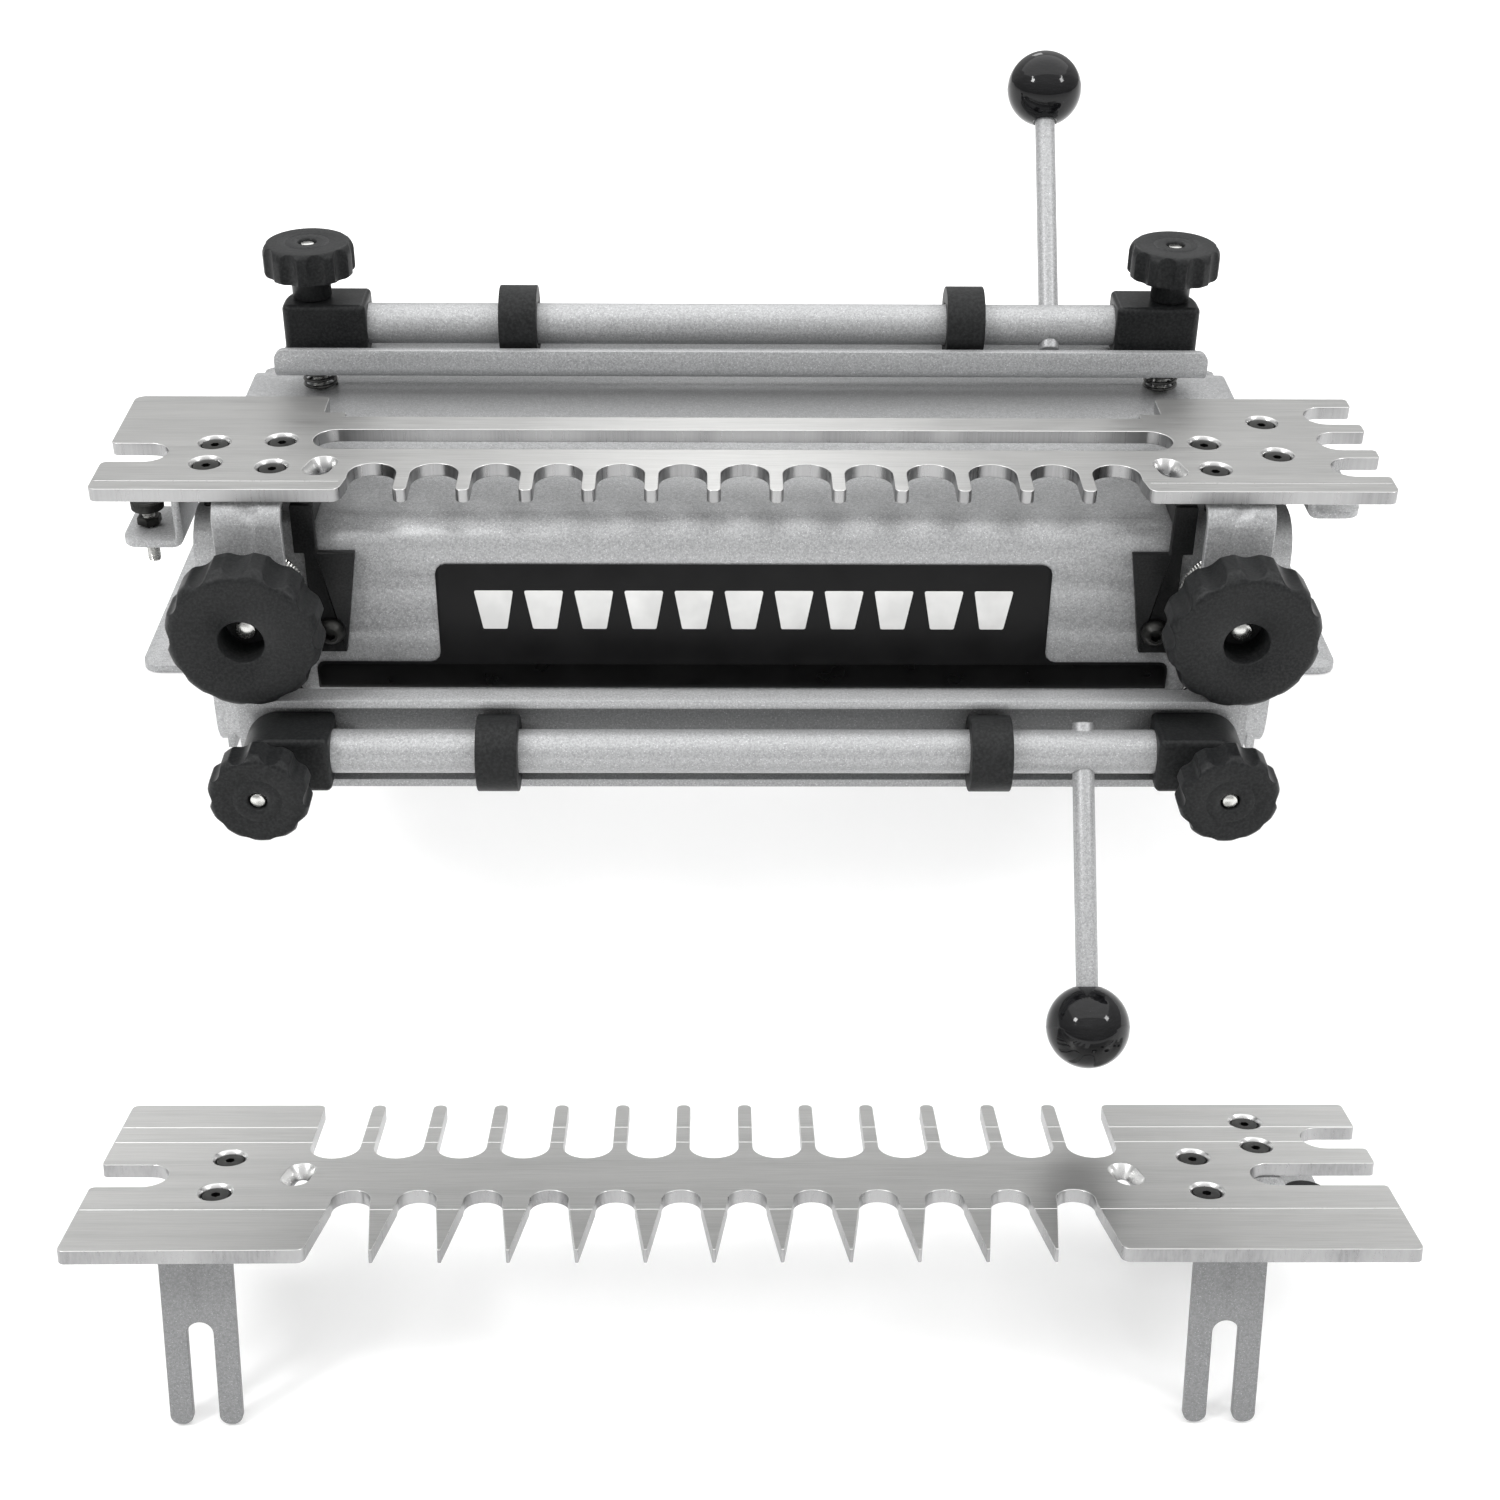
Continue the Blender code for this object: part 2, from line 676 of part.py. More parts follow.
def template_outline():
    """Half-blind template from above: front fingers, end slots, and the long rail at its back."""
    half, deep = TEMPLATE_HALF, TEMPLATE_DEPTH
    points = [(-half, 2.0), (-half + 2.0, 0.0)]
    points += finger_row(0.0, GAPS, PITCH, GAP_R, GAP_CENTRE, 0.0)
    points += [(half - 2.0, 0.0), (half, 2.0)]
    for centre in (20.8, 43.4, 66.2):
        points += end_slot(212.3, half, centre, END_SLOT_R)
    points += [(half, deep - 2.0), (half - 2.0, deep), (NOTCH_X + 1.5, deep), (NOTCH_X, deep - 2.0)]
    points += [(NOTCH_X, LEDGE_BACK), (LEDGE_X, LEDGE_BACK), (LEDGE_X, RAIL_BACK)]
    points += [(-LEDGE_X, RAIL_BACK), (-LEDGE_X, LEDGE_BACK), (-NOTCH_X, LEDGE_BACK)]
    points += [(-NOTCH_X, deep - 2.0), (-NOTCH_X - 1.5, deep), (-half + 3.0, deep), (-half, deep - 3.0)]
    points += end_slot(-209.5, -half, 30.8, END_SLOT_R)
    return points


def screw_hole(x, y):
    """A countersunk hole from the plate's top, with room for the screw."""
    stations = ((-30.0, 2.9), (-4.4, 2.9), (-2.0, 5.3), (1.0, 5.3))
    return turned("Z", (x, y), stations, 14)


def slot_cutter(x_low, x_high, y_low, y_high, low, high):
    """A round-ended slot cutter along X."""
    radius = (y_high - y_low) / 2.0
    middle = (y_low + y_high) / 2.0
    outline = arc((x_high - radius, middle), radius, -90.0, 90.0, 8)
    outline += arc((x_low + radius, middle), radius, 90.0, 270.0, 6)
    return prism(outline, low, high, "Z")


def relief_cutter(x, y, lean, low=-30.0):
    """A short round-ended slot that leans across the plate, with a flared mouth."""
    rings = []
    for depth, radius in ((low, 2.6), (-3.4, 2.6), (1.0, 6.0)):
        ring = arc((0.0, 4.0), radius, 0.0, 180.0, 6) + arc((0.0, -4.0), radius, 180.0, 360.0, 6)
        turn = Matrix.Rotation(lean, 2)
        spun = [turn @ Vector(p) for p in ring]
        rings.append([(x + p.x, y + p.y, depth) for p in spun])
    return loft(rings, closed=False)


def screw_shape(nut_top):
    """A countersunk screw, head at the top and its nut's top face at nut_top."""
    nut = ((nut_top - 7.0, 2.5), (nut_top - 3.6, 2.5), (nut_top - 3.6, 4.4), (nut_top, 4.4))
    head = ((nut_top, 2.5), (-4.0, 2.5), (-1.7, 4.8), (-0.9, 4.8))
    return turned("Z", (0.0, 0.0), nut + head, 12)


def fork_bracket(name, leg, holes):
    """An L bracket: a flat leg under the plate and a forked leg that reaches leg below its top.

    Local Y = 0 is the forked leg's front face and local Z = 0 the flat leg's top face.
    """
    half = BRACKET_SHEET / 2.0
    drop = leg - PLATE - GAP
    path = ((BRACKET_REACH, -half), (half, -half), (half, -drop))
    outline = sheet_outline(path, BRACKET_SHEET, BRACKET_BEND)
    obj = new_object(name, *prism(outline, -BRACKET_HALF, BRACKET_HALF, "X"), paint())
    top = -(FORK_TOP - PLATE - GAP)
    slot = arc((0.0, top - FORK_HALF), FORK_HALF, 0.0, 180.0, 8)
    slot += [(-FORK_HALF, -drop - 10.0), (FORK_HALF, -drop - 10.0)]
    cut(obj, prism(slot, -10.0, 20.0, "Y"), name + "_fork")
    cutters = [drill("Z", spot, 2.9, -10.0, 5.0, 12) for spot in holes]
    cut(obj, merged(*cutters), name + "_holes")
    return shade(obj)


def build_template(jig):
    """The mounted template with its screws, in a frame at its front edge and top face."""
    frame = new_empty("template_axis", (0.0, TEMPLATE_FRONT, TEMPLATE_TOP), (0.0, 0.0, 0.0), jig)
    plate = new_object("half_blind_template", *prism(template_outline(), -PLATE, 0.0, "Z"), aluminium())
    cutters = [slot_cutter(-SLOT_END, SLOT_END, SLOT_LOW, SLOT_HIGH, -10.0, 5.0)]
    cutters += [relief_cutter(x, y, math.radians(-14.0)) for x, y in RELIEF_SLOTS]
    cutters += [screw_hole(x, y) for x, y in TEMPLATE_SCREWS.values()]
    cut(plate, merged(*cutters), "template_holes")
    place(shade(plate), frame)
    nut_top = -PLATE - GAP - BRACKET_SHEET - GAP
    for word, (x, y) in TEMPLATE_SCREWS.items():
        screw = new_object(f"{word}_screw", *screw_shape(nut_top), black_oxide())
        place(shade(screw), frame, (x, y, 0.0))
    for side, word in ((-1.0, "left"), (1.0, "right")):
        spots = [v for k, v in TEMPLATE_SCREWS.items() if k.startswith(word + "_inner")]
        origin = (side * TEMPLATE_STUD_X, -2.0, -PLATE - GAP)
        holes = [(x - origin[0], y - origin[1]) for x, y in spots]
        bracket = fork_bracket(f"{word}_template_bracket", TEMPLATE_LEG, holes)
        place(bracket, frame, origin)
    build_depth_gauge(frame)


def z_bracket(name, flange, leg_x, foot_x, drop, y_low, y_high, holes, foot_hole):
    """A Z-folded bracket: flange under the plate, leg down at leg_x, foot out to foot_x."""
    half = BRACKET_SHEET / 2.0
    top = -PLATE - GAP - half
    path = ((flange, top), (leg_x, top), (leg_x, drop + half), (foot_x, drop + half))
    outline = sheet_outline(path, BRACKET_SHEET, 3.0, 4)
    shape = prism(outline, y_low, y_high, "Y")
    obj = new_object(name, *shape, paint())
    cutters = [drill("Z", spot, 2.9, -14.0, 5.0, 12) for spot in holes]
    if foot_hole:
        cutters.append(drill("Z", foot_hole, 3.0, drop - 8.0, drop + 8.0, 12))
    cut(obj, merged(*cutters), name + "_holes")
    out = math.copysign(1.0, foot_x)
    ends = [((foot_x, y_low), (out, -1.0)), ((foot_x, y_high), (out, 1.0))]
    corners = [corner_cutter(*end, FOOT_CORNER_R, drop - 8.0, drop + 8.0) for end in ends]
    cut(obj, merged(*corners), name + "_corners")
    return shade(obj)


FOOT_CORNER_R = 6.0
GAUGE_X = -219.7
GAUGE_Y = 30.8


def build_depth_gauge(frame):
    """Left depth gauge under the end slot, and the plain bracket under the right end."""
    left = [v for k, v in TEMPLATE_SCREWS.items() if k.startswith("left_outer")]
    bracket = z_bracket(
        "left_depth_bracket", -189.8, -206.0, -227.5, -32.0, 17.5, 46.0, left, (GAUGE_X, GAUGE_Y)
    )
    place(bracket, frame)
    screw = turned(
        "Z",
        (0.0, 0.0),
        ((-43.5, 2.4), (-22.5, 2.4), (-22.5, 6.2), (-19.8, 6.2), (-18.6, 5.0)),
        14,
    )
    place(shade(new_object("depth_gauge_screw", *screw, black_oxide())), frame, (GAUGE_X, GAUGE_Y, 0.0))
    nut = turned("Z", (0.0, 0.0), ((-28.4, 4.7), (-25.2, 4.7), (-25.2, 2.8), (-28.4, 2.8)), 12, True)
    place(shade(new_object("depth_gauge_nut", *nut, black_oxide())), frame, (GAUGE_X, GAUGE_Y, 0.0))
    right = [v for k, v in TEMPLATE_SCREWS.items() if k.startswith("right_outer")]
    bracket = z_bracket("right_depth_bracket", 189.8, 206.5, 225.5, -19.5, 18.0, 66.0, right, None)
    place(bracket, frame)


def build_template_mounting(jig):
    """Stud, knurled adjusting nut and big knob on each side."""
    for side, word in ((-1.0, "left"), (1.0, "right")):
        at = (side * TEMPLATE_STUD_X, 0.0, TEMPLATE_STUD_Z)
        facing = (math.radians(90.0), 0.0, 0.0)
        stud = stud_shape(TEMPLATE_STUD_R, 8.0, -BASE_SHEET - GAP - 4.0, 33.0)
        place(shade(new_object(f"{word}_template_stud", *stud, steel())), jig, at, facing)
        nut = turned("Z", (0.0, 0.0), ((-NUT_BACK, NUT_R), (-NUT_FRONT, NUT_R)), 32)
        nut = new_object(f"{word}_adjusting_nut", *nut, steel())
        cut(nut, drill("Z", (0.0, 0.0), TEMPLATE_BORE_R, 0.0, 20.0), f"{word}_nut_bore")
        place(shade(nut), jig, at, facing)
        knob = knob_shape(BIG_KNOB, BIG_KNOB_BORE, BIG_LOBES)
        knob = new_object(f"{word}_template_knob", *knob, black_plastic())
        start = -TEMPLATE_FRONT + 2.0 + GAP
        place(shade(knob), jig, (at[0], -start, at[2]), facing)


# ----------------------------------------------------------------------- spare


def pointed_row(count, centre, pitch, edge):
    """Gaps between the spare's pointed front fingers, from left to right along the edge."""
    points = []
    radius, neck = 6.4, 31.0
    for i in range(count):
        x = centre + (i - (count - 1) / 2.0) * pitch
        reach = pitch / 2.0 - 0.5
        points += [(x - reach, edge)]
        points += arc((x, neck + 2.0), radius, 200.0, -20.0, 6)
        points += [(x + reach, edge)]
    return points


def spare_outline():
    """Through-dovetail template from above: pointed fingers in front, straight ones behind."""
    half, deep, mid = SPARE_HALF, SPARE_DEPTH, SPARE_OFFSET
    points = [(-half, 2.0), (-half + 2.0, 0.0)]
    points += pointed_row(12, mid, PITCH, 0.6)
    points += [(half - 2.0, 0.0), (half, 2.0)]
    for centre in (50.6, 77.4):
        points += end_slot(176.0 if centre < 60.0 else 200.0, half, centre, END_SLOT_R)
    points += [(half, deep - 2.0), (half - 2.0, deep)]
    row = finger_row(mid, GAPS, PITCH, GAP_R, -(deep - 62.9 - GAP_R), deep)
    points += [*reversed(row), (-half + 2.0, deep), (-half, deep - 2.0)]
    points += end_slot(-196.5, -half, 50.4, END_SLOT_R)
    return points


def build_spare(world):
    """The spare template on its two fork legs, with its own depth gauge."""
    frame = new_empty("spare_axis", SPARE_PLACE, (SPARE_DIP, 0.0, 0.0), world)
    plate = new_object("through_dovetail_template", *prism(spare_outline(), -PLATE, 0.0, "Z"), aluminium())
    cutters = [relief_cutter(x, y, math.radians(-14.0)) for x, y in SPARE_RELIEF]
    cutters += [screw_hole(x, y) for x, y in SPARE_SCREWS]
    cut(plate, merged(*cutters), "spare_holes")
    place(shade(plate), frame)
    for x, word, spots in zip(SPARE_LEG_X, ("left", "right"), (SPARE_SCREWS[:2], SPARE_SCREWS[2:4])):
        holes = [(sx - x, sy - SPARE_LEG_Y) for sx, sy in spots]
        bracket = fork_bracket(f"spare_{word}_bracket", SPARE_LEG, holes)
        place(bracket, frame, (x, SPARE_LEG_Y, -PLATE - GAP))
    gauge = z_bracket(
        "spare_depth_bracket", 176.3, 189.3, 208.5, -24.0, 57.0, 97.0, SPARE_SCREWS[4:], (199.5, 64.0)
    )
    place(gauge, frame)
    stations = ((-34.0, 2.4), (-20.7, 2.4), (-20.7, 8.0), (-15.0, 8.0), (-13.5, 6.5))
    screw = new_object("spare_depth_knob", *turned("Z", (0.0, 0.0), stations, 16), black_plastic())
    place(shade(screw), frame, (199.5, 64.0, 0.0))


def main():
    clear_scene()
    jig = new_empty("jig_origin", (0.0, FRONT_FACE_Y, 0.0))
    build_base(jig)
    build_label(jig)
    build_guides(jig)
    build_clamp(jig, TOP_CLAMP)
    build_clamp(jig, FRONT_CLAMP)
    build_template(jig)
    build_template_mounting(jig)
    build_spare(jig)


main()
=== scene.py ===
import json
import math

import bmesh
import bpy
from mathutils import Matrix, Vector


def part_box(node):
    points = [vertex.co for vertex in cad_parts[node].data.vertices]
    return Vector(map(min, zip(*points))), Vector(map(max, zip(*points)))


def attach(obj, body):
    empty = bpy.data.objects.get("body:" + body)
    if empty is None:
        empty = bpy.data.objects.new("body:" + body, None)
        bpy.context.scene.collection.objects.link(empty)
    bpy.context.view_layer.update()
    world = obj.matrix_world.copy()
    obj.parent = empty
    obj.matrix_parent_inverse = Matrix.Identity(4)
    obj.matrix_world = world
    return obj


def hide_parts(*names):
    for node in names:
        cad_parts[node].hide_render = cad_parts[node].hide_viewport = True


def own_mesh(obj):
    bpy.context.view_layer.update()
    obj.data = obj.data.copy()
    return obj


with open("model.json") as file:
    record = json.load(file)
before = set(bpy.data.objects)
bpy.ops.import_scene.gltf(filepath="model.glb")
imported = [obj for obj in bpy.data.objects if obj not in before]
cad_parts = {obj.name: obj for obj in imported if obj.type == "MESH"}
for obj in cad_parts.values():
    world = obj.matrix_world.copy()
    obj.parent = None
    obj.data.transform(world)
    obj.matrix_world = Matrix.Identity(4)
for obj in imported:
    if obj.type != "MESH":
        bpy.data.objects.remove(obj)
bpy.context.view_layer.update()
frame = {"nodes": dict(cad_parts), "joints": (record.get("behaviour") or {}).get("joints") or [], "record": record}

# Lengths are in millimetres until a mesh is made, and MM turns them into metres.
MM = 0.001
BODY_OF = {n: b for b, nodes in frame["record"]["behaviour"]["bodies"].items() for n in nodes}
SLOT_OF = {part["node"]: part["material_slot"] for part in frame["record"]["subparts"]}
SIDES = (("left", -1.0), ("right", 1.0))
# Each clamp and the way its studs point.
CLAMPS = (("top", "up"), ("front", "out"))

# The two template plates: thickness and finger pitch, then the gaps between the fingers, the
# slots at the ends, the screws' seats and the short relief slots.
PLATE = 5.0
PITCH = 22.225
GAP_R = 8.6
GAP_TIP = 2.35
END_SLOT_R = 7.75
SEAT_R = 6.0
RELIEF_R = 5.0
RELIEF_HALF = 3.0

# The clamps: the cam tube's radius and its springs' turns.
TUBE_R = 8.0
SPRING_TURNS = {"up": 3.4, "out": 6.5}
# Room over each spring for the bar's last 1.2 mm, which the cam alone presses.
SPRING_PLAY = 1.4

# Studs: radius, thread pitch, and how far the thread stops short of the stud's end.
CLAMP_STUD = (3.0, 1.0, 2.2)
TEMPLATE_STUD = (4.0, 1.25, 0.0)


# ------------------------------------------------------------------ materials


RANGE_SOCKETS = ("From Min", "From Max", "To Min", "To Max")


class Shader:
    """A node material: a Principled shader with helpers for the textures that feed it."""

    def __init__(self, name, roughness, metallic=0.0, **sockets):
        self.material = bpy.data.materials.new(name)
        self.material.use_nodes = True
        self.tree = self.material.node_tree
        self.shader = self.tree.nodes["Principled BSDF"]
        self.set("Roughness", roughness)
        self.set("Metallic", metallic)
        for socket, value in sockets.items():
            self.set(socket.replace("_", " "), value)
        self.coordinates = self.tree.nodes.new("ShaderNodeTexCoord").outputs["Object"]

    def set(self, socket, value):
        self.shader.inputs[socket].default_value = value

    def link(self, out, to):
        self.tree.links.new(out, to)

    def feed(self, out, socket):
        self.link(out, self.shader.inputs[socket])

    def stretched(self, x, y, z):
        """The object's coordinates in metres, times a factor on each axis."""
        node = self.tree.nodes.new("ShaderNodeMapping")
        node.inputs["Scale"].default_value = (x, y, z)
        self.link(self.coordinates, node.inputs["Vector"])
        return node.outputs["Vector"]

    def noise(self, vector, scale=1.0, detail=2.0, rough=0.5):
        node = self.tree.nodes.new("ShaderNodeTexNoise")
        node.inputs["Scale"].default_value = scale
        node.inputs["Detail"].default_value = detail
        node.inputs["Roughness"].default_value = rough
        self.link(vector, node.inputs["Vector"])
        return node.outputs["Fac"]

    def spread(self, value, low, high, to_low=0.0, to_high=1.0):
        """The value's stretch from low to high, spread over to_low to to_high."""
        node = self.tree.nodes.new("ShaderNodeMapRange")
        for socket, number in zip(RANGE_SOCKETS, (low, high, to_low, to_high)):
            node.inputs[socket].default_value = number
        self.link(value, node.inputs["Value"])
        return node.outputs["Result"]

    def maths(self, operation, first, second):
        node = self.tree.nodes.new("ShaderNodeMath")
        node.operation = operation
        for socket, value in zip(node.inputs, (first, second)):
            if isinstance(value, float):
                socket.default_value = value
            else:
                self.link(value, socket)
        return node.outputs[0]

    def blend(self, share, first, second):
        """Two colours, mixed by a share."""
        node = self.tree.nodes.new("ShaderNodeMix")
        node.data_type = "RGBA"
        self.link(share, node.inputs["Factor"])
        for socket, colour in ((6, first), (7, second)):
            if isinstance(colour, tuple):
                node.inputs[socket].default_value = (*colour, 1.0)
            else:
                self.link(colour, node.inputs[socket])
        return node.outputs[2]

    def bump(self, height, depth, strength=1.0, over=None):
        """Raises the surface by a height texture, depth in millimetres."""
        node = self.tree.nodes.new("ShaderNodeBump")
        node.inputs["Strength"].default_value = strength
        node.inputs["Distance"].default_value = depth * MM
        self.link(height, node.inputs["Height"])
        if over:
            self.link(over, node.inputs["Normal"])
        return node.outputs["Normal"]

    def facing(self):
        """How far a face looks up or down in the object's own frame, from 0 to 1."""
        node = self.tree.nodes.new("ShaderNodeTexCoord")
        split = self.tree.nodes.new("ShaderNodeSeparateXYZ")
        self.link(node.outputs["Normal"], split.inputs["Vector"])
        return self.maths("ABSOLUTE", split.outputs["Z"], 0.0)


def painted(name, light, dark, metallic):
    """Fine metallic powder coat: grains, sparse bright flakes and a slight orange peel."""
    s = Shader(name, 0.42, metallic, Specular_IOR_Level=0.4)
    grains = s.noise(s.coordinates, 1150.0, 3.0, 0.75)
    colour = s.blend(s.spread(grains, 0.38, 0.62), dark, light)
    flakes = s.spread(s.noise(s.coordinates, 2600.0, 1.0), 0.64, 0.72)
    bright = tuple(min(1.0, c * 1.5) for c in light)
    cloud = s.spread(s.noise(s.coordinates, 9.0, 3.0), 0.3, 0.7, 0.0, 0.22)
    colour = s.blend(flakes, s.blend(cloud, colour, dark), bright)
    s.feed(colour, "Base Color")
    s.feed(s.spread(grains, 0.3, 0.7, 0.34, 0.52), "Roughness")
    peel = s.bump(s.noise(s.coordinates, 420.0, 2.0), 0.03, 0.4)
    s.feed(s.bump(grains, 0.03, 0.6, peel), "Normal")
    return s.material


def machined_aluminium(name):
    """Rolled plate brushed along X, with milled walls and bright countersinks and grooves; the walls are coloured
    darker than the faces, partly their milled finish and partly painted shade, with broad bands of painted
    reflection.
    """
    s = Shader(name, 0.3, 1.0)
    level = s.facing()
    flat = s.spread(level, 0.8, 0.95)
    sloped = s.spread(level, 0.38, 0.5)
    brush = s.noise(s.stretched(45.0, 5200.0, 5200.0), 1.0, 4.0, 0.6)
    broad = s.noise(s.stretched(5.0, 170.0, 170.0), 1.0, 2.0)
    tool = s.noise(s.stretched(900.0, 900.0, 25.0), 1.0, 2.0)
    painted_reflection_bands = s.noise(s.stretched(45.0, 45.0, 5.0), 1.0, 1.0)
    face = s.blend(s.spread(brush, 0.30, 0.70), (0.37, 0.37, 0.364), (0.56, 0.56, 0.552))
    face = s.blend(s.spread(broad, 0.35, 0.65, 0.0, 0.3), face, (0.60, 0.597, 0.585))
    # Walls: darker than the faces, partly the milled finish and partly painted shade, with broad bands of painted
    # reflection.
    wall = s.blend(s.spread(tool, 0.3, 0.7), (0.25, 0.25, 0.252), (0.32, 0.32, 0.322))
    wall = s.blend(s.spread(painted_reflection_bands, 0.4, 0.62, 0.0, 0.6), wall, (0.43, 0.43, 0.43))
    cut = s.blend(sloped, wall, (0.62, 0.62, 0.615))
    s.feed(s.blend(flat, cut, face), "Base Color")
    rough_face = s.spread(brush, 0.3, 0.7, 0.30, 0.44)
    rough_wall = s.spread(tool, 0.3, 0.7, 0.26, 0.33)
    lifted = s.maths("MULTIPLY", rough_face, flat)
    lowered = s.maths("MULTIPLY", rough_wall, s.maths("SUBTRACT", 1.0, flat))
    s.feed(s.maths("ADD", lifted, lowered), "Roughness")
    grooves = s.bump(s.maths("MULTIPLY", brush, flat), 0.02, 0.35)
    s.feed(s.bump(tool, 0.004, 0.12, grooves), "Normal")
    return s.material


def moulded(name, dark, light, roughness, grain):
    """Moulded plastic or rubber: a fine spark-eroded grain, faint dust and handling shine."""
    s = Shader(name, roughness, 0.0, Specular_IOR_Level=0.17)
    fine = s.noise(s.coordinates, grain, 3.0, 0.6)
    cloud = s.noise(s.coordinates, 55.0, 4.0, 0.6)
    colour = s.blend(s.spread(cloud, 0.35, 0.72), dark, light)
    pitted = s.spread(fine, 0.40, 0.62, 0.0, 0.7)
    colour = s.blend(pitted, colour, tuple(c * 1.7 for c in light))
    dust = s.spread(s.noise(s.coordinates, 1900.0, 1.0), 0.70, 0.76, 0.0, 0.35)
    s.feed(s.blend(dust, colour, tuple(c * 3.0 for c in light)), "Base Color")
    s.feed(s.spread(cloud, 0.3, 0.7, roughness - 0.09, roughness + 0.07), "Roughness")
    s.feed(s.bump(fine, 0.05, 0.7), "Normal")
    return s.material


def polished_ball(name):
    """Polished phenolic, deep black with fine rub marks in its shine."""
    s = Shader(name, 0.06, 0.0, Coat_Weight=0.15, Coat_Roughness=0.04, Specular_IOR_Level=0.22)
    rub = s.noise(s.stretched(300.0, 300.0, 2500.0), 1.0, 3.0)
    s.feed(s.blend(s.spread(rub, 0.4, 0.7), (0.004, 0.004, 0.0045), (0.009, 0.009, 0.010)), "Base Color")
    s.feed(s.spread(rub, 0.35, 0.75, 0.05, 0.13), "Roughness")
    s.feed(s.bump(s.noise(s.coordinates, 180.0, 2.0), 0.01, 0.2), "Normal")
    return s.material


def plated(name, dark, light, roughness):
    """Plated or blackened steel, with a cloudy finish and fine turning marks."""
    s = Shader(name, roughness, 1.0)
    cloud = s.noise(s.coordinates, 260.0, 4.0, 0.65)
    marks = s.noise(s.coordinates, 2400.0, 2.0)
    s.feed(s.blend(s.spread(cloud, 0.3, 0.7), dark, light), "Base Color")
    s.feed(s.spread(cloud, 0.3, 0.7, roughness - 0.08, roughness + 0.1), "Roughness")
    s.feed(s.bump(marks, 0.012, 0.4), "Normal")
    return s.material


def badge(name, colour, roughness):
    """Printed vinyl: even colour with a barely visible orange peel."""
    s = Shader(name, roughness, 0.0, Specular_IOR_Level=0.15)
    cloud = s.noise(s.coordinates, 70.0, 3.0)
    worn = tuple(c * 1.18 + 0.001 for c in colour)
    s.feed(s.blend(s.spread(cloud, 0.35, 0.7), colour, worn), "Base Color")
    s.feed(s.spread(cloud, 0.3, 0.7, roughness - 0.06, roughness + 0.06), "Roughness")
    s.feed(s.bump(s.noise(s.coordinates, 900.0, 2.0), 0.01, 0.3), "Normal")
    return s.material


LOOKS = {
    "silver_paint": painted("paint_silver", (0.48, 0.485, 0.49), (0.31, 0.313, 0.317), 0.35),
    # The next paint is a darker copy of the silver paint: painted shade for the spare's brackets.
    "shade_darkened_paint": painted("paint_darkened_for_shade", (0.27, 0.273, 0.276), (0.19, 0.192, 0.195), 0.35),
    "brushed_aluminium": machined_aluminium("aluminium_machined"),
    "black_plastic": moulded("plastic_black", (0.008, 0.0085, 0.009), (0.014, 0.0145, 0.0148), 0.42, 950.0),
    "black_rubber": moulded("rubber_black", (0.010, 0.0104, 0.0106), (0.016, 0.0165, 0.0168), 0.5, 850.0),
    "gloss_black": polished_ball("phenolic_black"),
    "black_oxide": plated("steel_blackened", (0.018, 0.018, 0.017), (0.05, 0.05, 0.048), 0.38),
    "zinc_steel": plated("steel_zinc", (0.50, 0.50, 0.48), (0.72, 0.72, 0.70), 0.26),
    "guide_black": moulded("guide_black", (0.005, 0.0052, 0.0054), (0.011, 0.0113, 0.0115), 0.36, 1300.0),
    "label_black": badge("badge_black", (0.007, 0.007, 0.0073), 0.36),
}
SPRING_STEEL = plated("steel_spring", (0.03, 0.03, 0.029), (0.16, 0.16, 0.155), 0.3)
BADGE_STRIP = badge("badge_strip", (0.0016, 0.0016, 0.0017), 0.32)
BADGE_WHITE = badge("badge_white", (0.72, 0.72, 0.71), 0.42)


# --------------------------------------------------------------- mesh helpers


def arc(centre, radius, start, end, steps):
    """Points on an arc, in degrees, both ends included."""
    points = []
    for k in range(steps + 1):
        angle = math.radians(start + (end - start) * k / steps)
        points.append((centre[0] + radius * math.cos(angle), centre[1] + radius * math.sin(angle)))
    return points


def rounded(corners, step=9.0):
    """An outline from corners (x, y, radius), each rounded by an arc that touches both sides."""
    points = []
    count = len(corners)
    for i, (x, y, radius) in enumerate(corners):
        here = Vector((x, y))
        into = (Vector(corners[i - 1][:2]) - here).normalized()
        out = (Vector(corners[(i + 1) % count][:2]) - here).normalized()
        between = into.angle(out)
        if radius <= 0.0 or between > math.pi - 1e-3:
            points.append((x, y))
            continue
        reach = radius / math.tan(between / 2.0)
        centre = here + (into + out).normalized() * (radius / math.sin(between / 2.0))
        first = here + into * reach - centre
        turn = math.pi - between
        sign = 1.0 if into.x * out.y - into.y * out.x < 0.0 else -1.0
        steps = max(2, round(math.degrees(turn) / step))
        for k in range(steps + 1):
            spoke = Matrix.Rotation(sign * turn * k / steps, 2) @ first
            points.append(tuple(centre + spoke))
    return points


def circle(x, y, radius, count=48):
    return arc((x, y), radius, 0.0, 360.0, count)[:-1]


def stadium(x, y, radius, half, lean, count=14):
    """A round-ended slot about (x, y), half long to each arc's centre, leaning from Y."""
    loop = arc((0.0, half), radius, 0.0, 180.0, count) + arc((0.0, -half), radius, 180.0, 360.0, count)
    turn = Matrix.Rotation(math.radians(lean), 2)
    return [(x + (turn @ Vector(p)).x, y + (turn @ Vector(p)).y) for p in loop]


def linked(name, mesh, look, smooth=32.0):
    """An object for a finished mesh, smoothed where its faces meet gently."""
    mesh.materials.clear()
    mesh.materials.append(look)
    mesh.shade_smooth()
    mesh.set_sharp_from_angle(angle=math.radians(smooth))
    obj = bpy.data.objects.new(name, mesh)
    bpy.context.scene.collection.objects.link(obj)
    return obj


